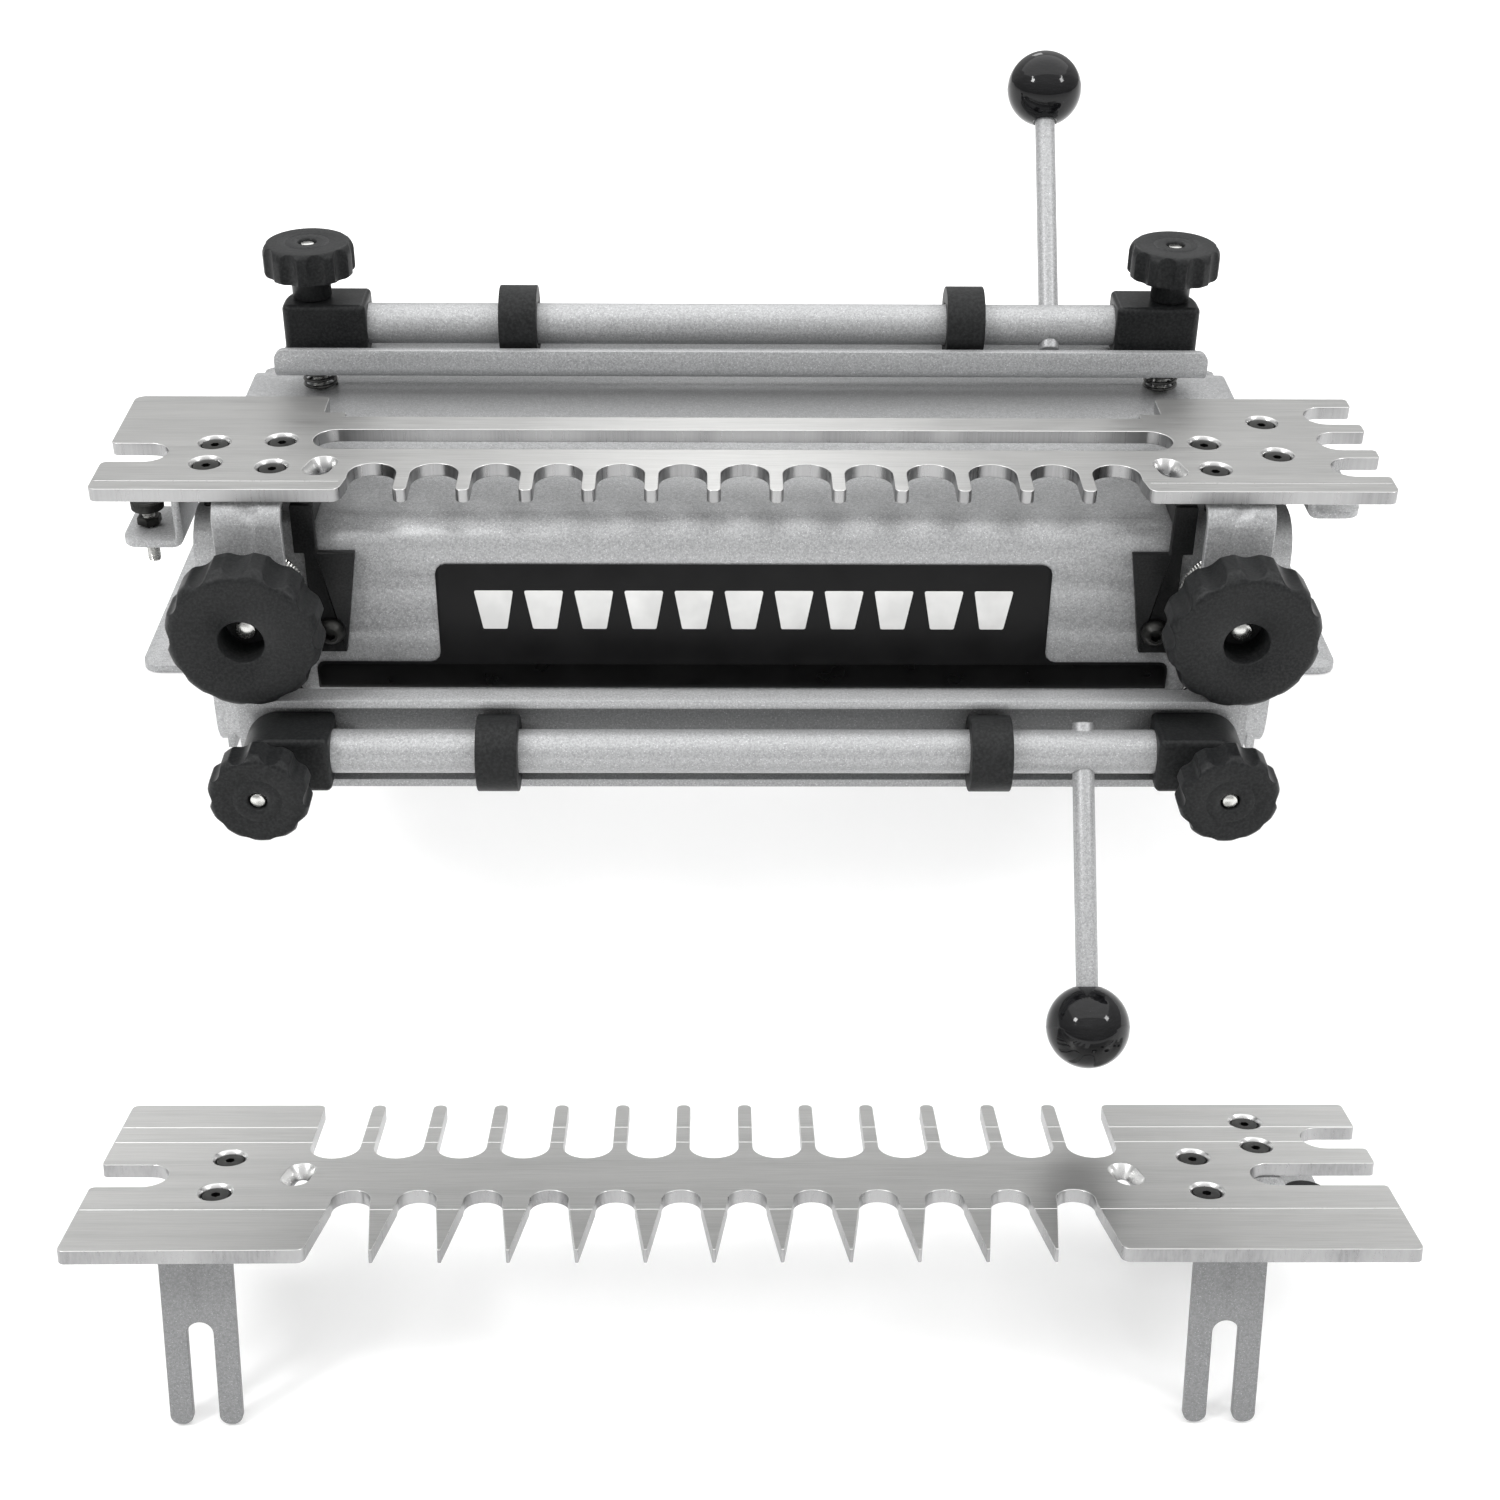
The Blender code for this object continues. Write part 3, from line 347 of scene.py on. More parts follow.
def piece(name, points, faces, at, look, smooth=32.0):
    """A closed mesh from local points in millimetres, placed by a matrix into the row's frame."""
    mesh = bpy.data.meshes.new(name)
    mesh.from_pydata([at @ (Vector(p) * MM) for p in points], [], faces)
    work = bmesh.new()
    work.from_mesh(mesh)
    bmesh.ops.recalc_face_normals(work, faces=work.faces)
    work.to_mesh(mesh)
    work.free()
    return linked(name, mesh, look, smooth)


def joined(*shapes):
    points, faces = [], []
    for more_points, more_faces in shapes:
        start = len(points)
        points += more_points
        faces += [[start + i for i in face] for face in more_faces]
    return points, faces


def loft(rings, closed=False):
    """Quads between rings of equal length, capped unless the last ring meets the first."""
    count = len(rings[0])
    total = len(rings)
    points = [p for ring in rings for p in ring]
    faces = []
    for k in range(total if closed else total - 1):
        n = (k + 1) % total
        for i in range(count):
            j = (i + 1) % count
            faces.append([k * count + i, k * count + j, n * count + j, n * count + i])
    if not closed:
        faces += [list(range(count)), list(range((total - 1) * count, total * count))]
    return points, faces


def turned(stations, count=48, closed=False):
    """A solid turned about Z from (radius, height) stations."""
    rings = []
    for radius, height in stations:
        rings.append([(x, y, height) for x, y in circle(0.0, 0.0, radius, count)])
    return loft(rings, closed)


def filleted(stations, radius, steps=4):
    """Turned stations whose inner corners are rounded by a small fillet."""
    out = [stations[0]]
    for before, here, after in zip(stations, stations[1:], stations[2:]):
        here_v, a, b = Vector(here), Vector(before) - Vector(here), Vector(after) - Vector(here)
        reach = min(radius, a.length * 0.45, b.length * 0.45)
        first, last = here_v + a.normalized() * reach, here_v + b.normalized() * reach
        for k in range(steps + 1):
            t = k / steps
            spot = first * (1 - t) ** 2 + here_v * 2 * t * (1 - t) + last * t * t
            out.append((spot.x, spot.y))
    out.append(stations[-1])
    return out


def plate_mesh(name, loops, low, high, edge, at):
    """A flat plate with holes and rounded edges, between two heights, as a closed mesh."""
    curve = bpy.data.curves.new(name, "CURVE")
    curve.dimensions = "2D"
    curve.fill_mode = "BOTH"
    for loop in loops:
        spline = curve.splines.new("POLY")
        spline.points.add(len(loop) - 1)
        for point, (x, y) in zip(spline.points, loop):
            point.co = (x * MM, y * MM, 0.0, 1.0)
        spline.use_cyclic_u = True
    curve.extrude = ((high - low) / 2.0 - edge) * MM
    curve.bevel_depth = edge * MM
    curve.bevel_resolution = 2
    curve.offset = -edge * MM
    helper = bpy.data.objects.new(name, curve)
    bpy.context.scene.collection.objects.link(helper)
    bpy.context.view_layer.update()
    graph = bpy.context.evaluated_depsgraph_get()
    mesh = bpy.data.meshes.new_from_object(helper.evaluated_get(graph))
    bpy.data.objects.remove(helper)
    work = bmesh.new()
    work.from_mesh(mesh)
    bmesh.ops.remove_doubles(work, verts=work.verts, dist=1e-6)
    lift = Matrix.Translation((0, 0, (low + high) / 2.0 * MM))
    bmesh.ops.transform(work, matrix=at @ lift, verts=work.verts)
    work.to_mesh(mesh)
    work.free()
    return mesh


def even(obj):
    """Keeps broad faces flat in shade, so that only rounded edges turn the light."""
    step = obj.modifiers.new("even_shade", "WEIGHTED_NORMAL")
    step.weight = 100
    step.keep_sharp = True
    return obj


def stands_for(obj, node):
    """Rides on the node's body and hides the node."""
    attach(obj, BODY_OF[node])
    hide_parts(node)


def axis_point(node):
    """The middle of a node's box, which lies on the axis of a turned piece."""
    low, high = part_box(node)
    return (low + high) / 2.0


def facing_turn(facing):
    """Turns Z to point up, or out of the jig's front, and keeps X."""
    return Matrix.Rotation(math.radians(0.0 if facing == "up" else 90.0), 4, "X")


def axis_frame(node, facing):
    """The frame whose Z runs out along a node's axis from its base, and the node's length."""
    low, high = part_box(node)
    mid = (low + high) / 2.0
    if facing == "up":
        return Matrix.Translation((mid.x, mid.y, low.z)), (high.z - low.z) / MM
    return Matrix.Translation((mid.x, high.y, mid.z)) @ facing_turn(facing), (high.y - low.y) / MM


def cut_from(obj, cutters):
    """Cuts closed meshes from an object for good."""
    for cutter in cutters:
        step = obj.modifiers.new("cut", "BOOLEAN")
        step.operation = "DIFFERENCE"
        step.solver = "EXACT"
        step.object = cutter
    bpy.context.view_layer.update()
    graph = bpy.context.evaluated_depsgraph_get()
    mesh = bpy.data.meshes.new_from_object(obj.evaluated_get(graph))
    obj.modifiers.clear()
    obj.data = mesh
    mesh.set_sharp_from_angle(angle=math.radians(32.0))
    for cutter in cutters:
        bpy.data.objects.remove(cutter)
    return obj


# --------------------------------------------------------------- carried nodes


def dress(node, edge):
    """Welds a carried CAD node's shading splits, rounds its edges and gives it its finish."""
    obj = frame["nodes"][node]
    obj.data.materials.clear()
    obj.data.materials.append(LOOKS[SLOT_OF[node]])
    obj.data.shade_smooth()
    weld = obj.modifiers.new("weld", "WELD")
    weld.merge_threshold = 1e-6
    bevel = obj.modifiers.new("edges", "BEVEL")
    bevel.width = edge * MM
    bevel.segments = 2
    bevel.limit_method = "ANGLE"
    bevel.angle_limit = math.radians(40.0)
    bevel.harden_normals = True


# ---------------------------------------------------------------------- knobs


# A groove in a knob's face: how far each point is from the groove's radius, and its depth.
GROOVE = ((0.5, 0.0), (0.2, 0.16), (-0.2, 0.16), (-0.5, 0.0))


def knob(name, node, facing, lobes, collar, wheel, dome, scoop, bore, groove):
    """A fluted knob: a collar, then a wheel whose domed rim is scooped out between its lobes.

    collar is (radius, length), wheel (radius, back rounding), dome (inset, height) of the
    rounding at the face, scoop (radius, depth), bore a function that gives the bore's
    stations, and groove the radius of the groove in the face, or None.
    """
    at, top = axis_frame(node, facing)
    collar_r, wheel_low = collar
    wheel_r, back_round = wheel
    inset, rise = dome
    scoop_r, scoop_depth = scoop
    scoop_at = wheel_r + scoop_r - scoop_depth
    profile = [(collar_r - 0.5, 0.0), (collar_r, 0.5)]
    profile += [(collar_r, wheel_low - 0.8), (collar_r + 0.8, wheel_low)]
    profile += [(wheel_r * 0.62, wheel_low), (wheel_r * 0.86, wheel_low + 0.1)]
    profile += arc((wheel_r - back_round, wheel_low + back_round), back_round, -90.0, 0.0, 6)[1:]
    side_top = top - rise
    side_low = wheel_low + back_round
    profile += [(wheel_r, side_low + (side_top - side_low) * share) for share in (0.3, 0.6, 0.85)]
    for k in range(15):
        angle = math.radians(90.0 * k / 14.0)
        profile.append((wheel_r - inset * (1.0 - math.cos(angle)), side_top + rise * math.sin(angle)))
    if groove:
        profile += [(groove + off, top - dip) for off, dip in GROOVE]
    profile += bore(top)
    count = lobes * 24
    rings = []
    for radius, height in profile:
        ring = []
        for k in range(count):
            angle = 2.0 * math.pi * k / count
            off = (angle + math.pi / lobes) % (2.0 * math.pi / lobes) - math.pi / lobes
            limit = radius
            side = scoop_at * math.sin(off)
            if abs(side) < scoop_r and height > wheel_low - 0.01:
                limit = scoop_at * math.cos(off) - math.sqrt(scoop_r ** 2 - side ** 2)
            r = min(radius, limit)
            ring.append((r * math.cos(angle), r * math.sin(angle), height))
        rings.append(ring)
    stands_for(piece(name, *loft(rings, closed=True), at, LOOKS["black_plastic"], 50.0), node)


def small_bore(top):
    """Stations of a small knob's through hole, chamfered at the face."""
    return [(4.0, top), (3.5, top - 0.5), (3.5, 12.0), (3.5, 0.0)]


def big_bore(top):
    """Stations of a big knob's deep recess and the hole at its floor."""
    return [(8.5, top), (8.15, top - 0.4), (8.15, 14.0), (4.35, 13.6), (4.35, 0.0)]


def build_knobs():
    for word, facing in CLAMPS:
        for side, _ in SIDES:
            node = f"{word}_{side}_knob"
            sizes = ((7.7, 9.9), (17.9, 1.5), (2.6, 4.0), (5.0, 1.9))
            knob(f"{node}_fluted", node, facing, 10, *sizes, small_bore, 8.6)
    for side, _ in SIDES:
        node = f"{side}_template_knob"
        sizes = ((11.0, 10.5), (27.5, 2.2), (4.1, 5.6), (6.5, 2.3))
        knob(f"{node}_fluted", node, "out", 12, *sizes, big_bore, None)


# --------------------------------------------------------------- clamp pieces


def clamp_frame(word, facing):
    """The clamp's own frame at its tube's middle: X along the tube, Z out along the studs."""
    return Matrix.Translation(axis_point(f"{word}_cam_tube")) @ facing_turn(facing)


def lever_frame(word):
    """The frame at the tube's axis under the lever, with Z along the rod towards its ball."""
    ball, tube = axis_point(f"{word}_lever_ball"), axis_point(f"{word}_cam_tube")
    base = Vector((ball.x, tube.y, tube.z))
    way = (ball - base).normalized()
    spin = Vector((0, 0, 1)).rotation_difference(way).to_matrix().to_4x4()
    return Matrix.Translation(base) @ spin, (ball - base).length / MM


def along_x(stations, count=64, closed=False):
    """A solid turned about X from (radius, place) stations."""
    points, faces = turned(stations, count, closed)
    return [(z, x, y) for x, y, z in points], faces


def build_tube(word, at):
    low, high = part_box(f"{word}_cam_tube")
    half = (high.x - low.x) / 2.0 / MM
    chamfer, wall = 0.4, 2.0
    stations = [(TUBE_R - chamfer, -half), (TUBE_R, chamfer - half)]
    stations += [(TUBE_R, half - chamfer), (TUBE_R - chamfer, half)]
    stations += [(TUBE_R - wall, half), (TUBE_R - wall, -half)]
    obj = piece(f"{word}_tube_painted", *along_x(stations, 72, True), at, LOOKS["silver_paint"])
    lever, _ = lever_frame(word)
    drill = piece("drill", *turned([(4.25, -20.0), (4.25, 20.0)], 32), lever, LOOKS["silver_paint"])
    stands_for(cut_from(obj, [drill]), f"{word}_cam_tube")


def build_rings(word, facing):
    """Two round cam rings, each bored off its centre for the tube."""
    bore, chamfer = TUBE_R + 0.3, 0.6
    for side, _ in SIDES:
        node = f"{word}_{side}_cam_ring"
        low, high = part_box(node)
        at = Matrix.Translation(axis_point(node)) @ facing_turn(facing)
        off = (at.inverted() @ axis_point(f"{word}_cam_tube")).z / MM
        half = (high.x - low.x) / 2.0 / MM
        radius = (high.y - low.y) / 2.0 / MM
        outer = [(radius - 1.0, -half), (radius, -half), (radius, half), (radius - 1.0, half)]
        inner = [(bore + chamfer, half), (bore, half - chamfer)]
        inner += [(bore, chamfer - half), (bore + chamfer, -half)]
        rings = []
        for stations, shift in ((filleted(outer, 0.6), 0.0), (inner, off)):
            for r, place in stations:
                rings.append([(place, y, z + shift) for y, z in circle(0.0, 0.0, r, 72)])
        obj = piece(f"{word}_{side}_ring_turned", *loft(rings, True), at, LOOKS["black_rubber"], 40.0)
        stands_for(obj, node)


def build_block(word, side, sign, at):
    """An end block with a swept elbow, its edges rounded, bored for its stud and tube."""
    node = f"{word}_{side}_end_block"
    low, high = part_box(node)
    inner, outer = sorted((abs(low.x) / MM, abs(high.x) / MM))
    deep = (high.z - low.z) / MM / 2.0
    corners = [(inner, -deep, 2.2), (inner, deep, 2.2), (outer, deep, 13.0), (outer, -deep, 3.0)]
    outline = [(sign * x, y) for x, y in rounded(corners, 7.0)]
    mesh = plate_mesh(node, [outline], -deep, deep, 2.0, at)
    obj = linked(f"{node}_moulded", mesh, LOOKS["black_plastic"])
    stud = axis_point(f"{word}_{side}_stud")
    stud_x = (at.inverted() @ stud).x
    near, far = sign * (inner - 4.0), sign * 160.5
    bore = turned([(3.5, -30.0), (3.5, 30.0)], 32)
    bore = piece("bore", *bore, at @ Matrix.Translation((stud_x, 0, 0)), LOOKS["black_plastic"])
    socket = along_x([(TUBE_R + 0.25, near), (TUBE_R + 0.25, far)], 48)
    socket = piece("socket", *socket, at, LOOKS["black_plastic"])
    stands_for(even(cut_from(obj, [bore, socket])), node)


def build_lever(word):
    """The lever's rod through the tube, and its ball with a moulding seam and a short neck."""
    at, reach = lever_frame(word)
    low, high = -10.5, reach - 6.0
    rod = filleted([(0.01, low), (4.0, low), (4.0, high), (0.01, high)], 0.7)
    obj = piece(f"{word}_rod_painted", *turned(rod[1:-1], 48), at, LOOKS["silver_paint"])
    stands_for(obj, f"{word}_lever_rod")
    radius, seam = 15.0, 0.12
    stations = []
    start = math.asin(5.6 / radius)
    for k in range(49):
        angle = start + (math.pi - start - 0.02) * k / 48.0
        r, z = radius * math.sin(angle), -radius * math.cos(angle)
        stations.append((r + seam * math.exp(-(z / 0.35) ** 2), z))
    stations = [(4.3, -9.0), (4.3, -14.0), (5.0, -14.2)] + stations
    at_ball = at @ Matrix.Translation((0, 0, reach * MM))
    obj = piece(f"{word}_ball_polished", *turned(stations, 96), at_ball, LOOKS["gloss_black"], 40.0)
    stands_for(obj, f"{word}_lever_ball")


def threaded(radius, pitch, low, high, count=28, per_turn=6):
    """A threaded rod's skin, its crest winding up one pitch a turn, with a chamfered tip."""
    depth = pitch * 0.55
    steps = round((high - low) / pitch * per_turn)
    rings = []
    for k in range(steps + 1):
        z = low + (high - low) * k / steps
        ring = []
        for i in range(count):
            angle = 2.0 * math.pi * i / count
            phase = (z / pitch - i / count) % 1.0
            r = radius - depth * abs(2.0 * phase - 1.0)
            r = min(r, radius - depth + (high - z) * 0.9, radius)
            ring.append((r * math.cos(angle), r * math.sin(angle), z))
        rings.append(ring)
    return loft(rings)


def build_stud(node, facing, radius, pitch, sunk):
    """A stud: its round head inside the base, and a threaded run that ends sunk below its tip."""
    at, length = axis_frame(node, facing)
    head = filleted([(0.01, 0.0), (7.8, 0.0), (7.8, 4.0), (radius * 0.9, 4.0), (radius * 0.9, 5.0)], 0.5)
    shapes = joined(turned(head[1:], 36), threaded(radius, pitch, 4.5, length - sunk))
    stands_for(piece(f"{node}_threaded", *shapes, at, LOOKS["zinc_steel"], 60.0), node)


def coil(radius, wire, height, turns, per_turn=36, sides=10):
    """A coil spring on Z whose end turns are closed and flat."""
    rings = []
    total = round(turns * per_turn)
    for k in range(total + 1):
        turn = k / per_turn
        free = max(0.0, min(1.0, (turn - 0.8) / (turns - 1.6)))
        angle = 2.0 * math.pi * turn
        ends = 2.0 * wire * (min(turn, 0.8) + max(0.0, turn - turns + 0.8)) * 0.9
        z = wire + ends + free * (height - 2.0 * wire - 2.9 * wire)
        out = Vector((math.cos(angle), math.sin(angle), 0.0))
        middle = out * radius + Vector((0, 0, z))
        spokes = [2.0 * math.pi * s / sides for s in range(sides)]
        ring = [middle + out * wire * math.cos(a) + Vector((0, 0, wire * math.sin(a))) for a in spokes]
        rings.append([tuple(p) for p in ring])
    return loft(rings)


def build_spring(word, side, facing):
    """A coil spring, wound from 1.4 mm wire, that shortens as its clamp's carriage slides."""
    node = f"{word}_{side}_spring"
    at, length = axis_frame(node, facing)
    length -= SPRING_PLAY
    shape = coil(6.3, 0.7, length, SPRING_TURNS[facing])
    obj = piece(f"{node}_wound", *shape, at, SPRING_STEEL, 60.0)
    stands_for(obj, node)
    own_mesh(obj)


def build_clamps():
    for word, facing in CLAMPS:
        at = clamp_frame(word, facing)
        build_tube(word, at)
        build_rings(word, facing)
        build_lever(word)
        for side, sign in SIDES:
            build_block(word, side, sign, at)
            build_stud(f"{word}_{side}_stud", facing, *CLAMP_STUD)
            build_spring(word, side, facing)
    for side, _ in SIDES:
        build_stud(f"{side}_template_stud", "out", *TEMPLATE_STUD)


# ------------------------------------------------------------------- templates


def gap_corners(x, edge, inner, splay=(0.0, 0.0)):
    """Corners of one U-shaped gap from left to right, open at the edge, round at inner."""
    left, right = splay
    return [
        (x - GAP_R - left, edge, GAP_TIP + left),
        (x - GAP_R, edge + (inner - edge) * 0.45, left * 3.0),
        (x - GAP_R, inner, GAP_R - 0.01),
        (x + GAP_R, inner, GAP_R - 0.01),
        (x + GAP_R, edge + (inner - edge) * 0.45, right * 3.0),
        (x + GAP_R + right, edge, GAP_TIP + right),
    ]


def slot_corners(x_end, x_mouth, centre_y, mouth_r=1.6):
    """Corners of a slot open at the plate's end, entered from the side met first."""
    sign = 1.0 if x_mouth > x_end else -1.0
    near, far = centre_y - sign * END_SLOT_R, centre_y + sign * END_SLOT_R
    full = END_SLOT_R - 0.01
    return [(x_mouth, near, mouth_r), (x_end, near, full), (x_end, far, full), (x_mouth, far, mouth_r)]


def template_outline():
    """The mounted template from above, its front edge at Y = 0."""
    half, deep, notch, ledge = 232.0, 82.0, 158.0, 149.8
    corners = [(-half, 0.0, 3.0)]
    for i in range(13):
        splay = (1.8 if i == 0 else 0.0, 1.8 if i == 12 else 0.0)
        corners += gap_corners((i - 6) * PITCH, 0.0, 22.1, splay=splay)
    corners += [(half, 0.0, 3.0)]
    for centre in (20.8, 43.4, 66.2):
        corners += slot_corners(212.3, half, centre)
    corners += [(half, deep, 1.8), (notch, deep, 2.5)]
    corners += [(notch, 67.0, 0.6), (ledge, 67.0, 0.4), (ledge, 63.2, 0.6)]
    corners += [(-ledge, 63.2, 0.6), (-ledge, 67.0, 0.4), (-notch, 67.0, 0.6), (-notch, deep, 2.5)]
    corners += [(-half, deep, 4.0)]
    corners += slot_corners(-209.5, -half, 30.8, 2.5)
    return rounded(corners)


def spare_outline():
    """The spare template: tapered fingers in front, straight ones behind."""
    half, deep, mid, edge = 221.4, 103.7, -9.2, 0.6
    neck, radius = 40.0, 6.6
    corners = [(-half, 0.0, 2.5)]
    for i in range(12):
        x = mid + (i - 5.5) * PITCH
        reach = PITCH / 2.0 - 0.55
        first, last = (3.0 if i == 0 else 0.45), (3.0 if i == 11 else 0.45)
        tip = radius - 0.01
        corners += [(x - reach, edge, first), (x - radius, neck - 8.8, 1.0), (x - radius, neck, tip)]
        corners += [(x + radius, neck, tip), (x + radius, neck - 8.8, 1.0), (x + reach, edge, last)]
    corners += [(half, 0.0, 2.5)]
    corners += slot_corners(176.0, half, 50.6) + slot_corners(200.0, half, 77.4)
    corners += [(half, deep, 2.0)]
    for i in reversed(range(13)):
        corners += list(reversed(gap_corners(mid + (i - 6) * PITCH, deep, 62.9)))
    corners += [(-half, deep, 2.5)] + slot_corners(-196.5, -half, 50.4, 2.0)
    return rounded(corners)


def sunk_seat(x, y):
    """The bright conical seat of a countersunk screw, as a closed ring in the plate."""
    rim, foot = SEAT_R + 0.05, 0.1 - PLATE
    stations = [(rim, -0.12), (4.95, -1.35), (4.95, -2.0), (3.0, -3.9), (3.0, foot), (rim, foot)]
    points, faces = turned(stations, 48, True)
    return [(px + x, py + y, pz) for px, py, pz in points], faces


# Where the screws' nuts start, under a bracket's sheet.
NUT_TOP = -PLATE - 3.6

# A relief slot's rings: radius, half length and depth.
RELIEF_RINGS = (
    (RELIEF_R + 0.05, RELIEF_HALF, -0.1),
    (2.1, 2.9, -4.3),
    (2.1, 2.9, 0.05 - PLATE),
    (RELIEF_R + 0.05, RELIEF_HALF, 0.05 - PLATE),
)


def relief_seat(x, y, lean):
    """The flared wall of a short slot that leans across the plate."""
    rings = []
    for radius, half, depth in RELIEF_RINGS:
        rings.append([(px, py, depth) for px, py in stadium(x, y, radius, half, lean)])
    return loft(rings, True)


def hexagon(half_across, z, count=36):
    """A hexagon's outline with points enough to meet a round ring."""
    ring = []
    for k in range(count):
        angle = 2.0 * math.pi * k / count
        wedge = (angle + math.pi / 6.0) % (math.pi / 3.0) - math.pi / 6.0
        r = half_across / math.cos(wedge)
        ring.append((r * math.cos(angle), r * math.sin(angle), z))
    return ring


def socketed(skin, half_across, mouth, floor):
    """A turned head from (radius, height) stations, with a hex socket in its top."""
    rings = [[(x, y, z) for x, y in circle(0, 0, r, 36)] for r, z in skin]
    return loft([*rings, hexagon(half_across, mouth), hexagon(half_across, floor)])


def hex_nut(half_across, bore, low, high):
    """A hex nut with chamfered corners and a round bore."""
    chamfer = half_across * 0.08
    rings = [hexagon(half_across - chamfer, low), hexagon(half_across, low + chamfer)]
    rings += [hexagon(half_across, high - chamfer), hexagon(half_across - chamfer, high)]
    rings += [[(x, y, z) for x, y in circle(0, 0, bore, 36)] for z in (high, low)]
    return loft(rings, True)


def plate_screw(name, at, x, y):
    """A countersunk screw: a hex socket in its head, a threaded shank and a hex nut below."""
    skin = filleted([(2.6, -4.6), (2.6, -3.9), (4.75, -1.7), (4.6, -1.0), (1.9, -1.0)], 0.15)
    head = socketed(skin, 1.45, -1.0, -2.9)
    nut = hex_nut(4.0, 2.4, NUT_TOP - 3.6, NUT_TOP)
    shape = joined(head, threaded(2.5, 0.8, -16.6, -4.2, 20), nut)
    place = at @ Matrix.Translation((x * MM, y * MM, 0)) @ Matrix.Rotation(x + y, 4, "Z")
    return piece(name, *shape, place, LOOKS["black_oxide"], 40.0)


def scribe(at, x_low, x_high, y):
    """A scribed layout line: a fine V groove cutter along X."""
    rings = []
    for x in (x_low, x_high):
        rings.append([(x, y - 0.34, 0.1), (x, y + 0.34, 0.1), (x, y + 0.04, -0.28), (x, y - 0.04, -0.28)])
    return piece("scribe", *loft(rings), at, LOOKS["brushed_aluminium"])


def finger_plate(name, node, at, outlines, screws, reliefs, lines):
    """A finger plate with its holes and scribed lines, and the bright seats in its holes."""
    loops = outlines + [circle(x, y, SEAT_R) for x, y in screws]
    loops += [stadium(x, y, RELIEF_R, RELIEF_HALF, lean) for x, y, lean in reliefs]
    mesh = plate_mesh(f"{name}_plate", loops, -PLATE, 0.0, 0.3, at)
    obj = linked(f"{name}_plate", mesh, LOOKS["brushed_aluminium"], 28.0)
    cut_from(obj, [scribe(at, *line) for line in lines])
    stands_for(even(obj), node)
    seats = joined(*[sunk_seat(x, y) for x, y in screws], *[relief_seat(*r) for r in reliefs])
    obj = piece(f"{name}_seats", *seats, at, LOOKS["brushed_aluminium"], 50.0)
    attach(obj, BODY_OF[node])


def build_template():
    """The mounted plate with seats and screws, placed by the CAD plate's box."""
    low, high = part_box("half_blind_template")
    at = Matrix.Translation(((low.x + high.x) / 2.0, low.y, high.z))
    nodes = sorted(n for n in SLOT_OF if n.endswith("_screw") and BODY_OF[n] == "template")
    spots = [at.inverted() @ axis_point(node) for node in nodes]
    screws = [(spot.x / MM, spot.y / MM) for spot in spots]
    reliefs = ((-152.7, 20.0, -15.0), (153.6, 19.6, 15.0))
    slot = [(x, y, 8.39) for x, y in ((-158.5, 34.6), (158.5, 34.6), (158.5, 51.4), (-158.5, 51.4))]
    outlines = [template_outline(), rounded(slot)]
    lines = ((-231.0, -144.5, 7.0), (144.5, 231.0, 7.0))
    finger_plate("half_blind", "half_blind_template", at, outlines, screws, reliefs, lines)
    for node, (x, y) in zip(nodes, screws):
        stands_for(plate_screw(f"{node}_machined", at, x, y), node)


def spare_frame():
    """The spare template's own frame, from its CAD box and its knob's axis."""
    low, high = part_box("through_dovetail_template")
    axis = next(j["axis"] for j in frame["joints"] if j["name"] == "spare_knob_spin")
    dip = math.atan2(axis[1], axis[2])
    place = Vector(((low.x + high.x) / 2.0, low.y + PLATE * MM * math.sin(dip), high.z))
    return Matrix.Translation(place) @ Matrix.Rotation(-dip, 4, "X")


def build_spare():
    """The spare plate with its seats, and its screws, which have no CAD nodes."""
    at = spare_frame()
    screws = ((-178.0, 63.2), (-178.0, 38.9), (158.6, 63.4), (158.6, 39.2), (182.8, 90.0), (182.8, 71.9))
    reliefs = ((-152.1, 51.2, -12.0), (133.1, 50.8, 15.0))
    lines = [(-220.9, 220.9, y) for y in (86.0, 74.6, 26.8)]
    node = "through_dovetail_template"
    finger_plate("through_dovetail", node, at, [spare_outline()], screws, reliefs, lines)
    for k, (x, y) in enumerate(screws):
        obj = plate_screw(f"spare_screw_{k + 1}", at, x, y)
        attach(obj, "spare")


# -------------------------------------------------------------------- brackets


# The dart pressed into a bracket's fold.
DENT_HALF = 4.6
DENT_DEPTH = 2.6


def folded(mesh, start, radius, at):
    """Bends a flat pattern, whose Y is its length and Z = 0 its top face, a quarter turn down.

    The fold begins at start and has the outer radius given. A pressed dart stiffens its middle.
    """
    run = math.radians(90.0) * radius
    work = bmesh.new()
    work.from_mesh(mesh)
    cuts = [((0, (start + run * k / 12.0) * MM, 0), (0, 1, 0)) for k in range(13)]
    cuts += [((share * DENT_HALF * MM, 0, 0), (1, 0, 0)) for share in (-1.0, -0.5, 0.0, 0.5, 1.0)]
    for place, way in cuts:
        everything = work.verts[:] + work.edges[:] + work.faces[:]
        bmesh.ops.bisect_plane(work, geom=everything, plane_co=place, plane_no=way, dist=1e-7)
    for vert in work.verts:
        across = max(0.0, 1.0 - abs(vert.co.x / MM) / DENT_HALF)
        beside = max(0.0, 1.0 - abs(vert.co.y / MM - start - run * 0.6) / (run * 0.62))
        vert.co.z -= DENT_DEPTH * across * beside * MM
    for vert in work.verts:
        y, z = vert.co.y / MM - start, vert.co.z / MM
        if y <= 0.0:
            continue
        part = min(y, run) / radius
        rest = max(0.0, y - run)
        arm = z + radius
        y_new = math.sin(part) * arm + rest * math.cos(part)
        z_new = math.cos(part) * arm - rest * math.sin(part) - radius
        vert.co.y, vert.co.z = (start + y_new) * MM, z_new * MM
    bmesh.ops.transform(work, matrix=at, verts=work.verts)
    work.to_mesh(mesh)
    work.free()
    return mesh


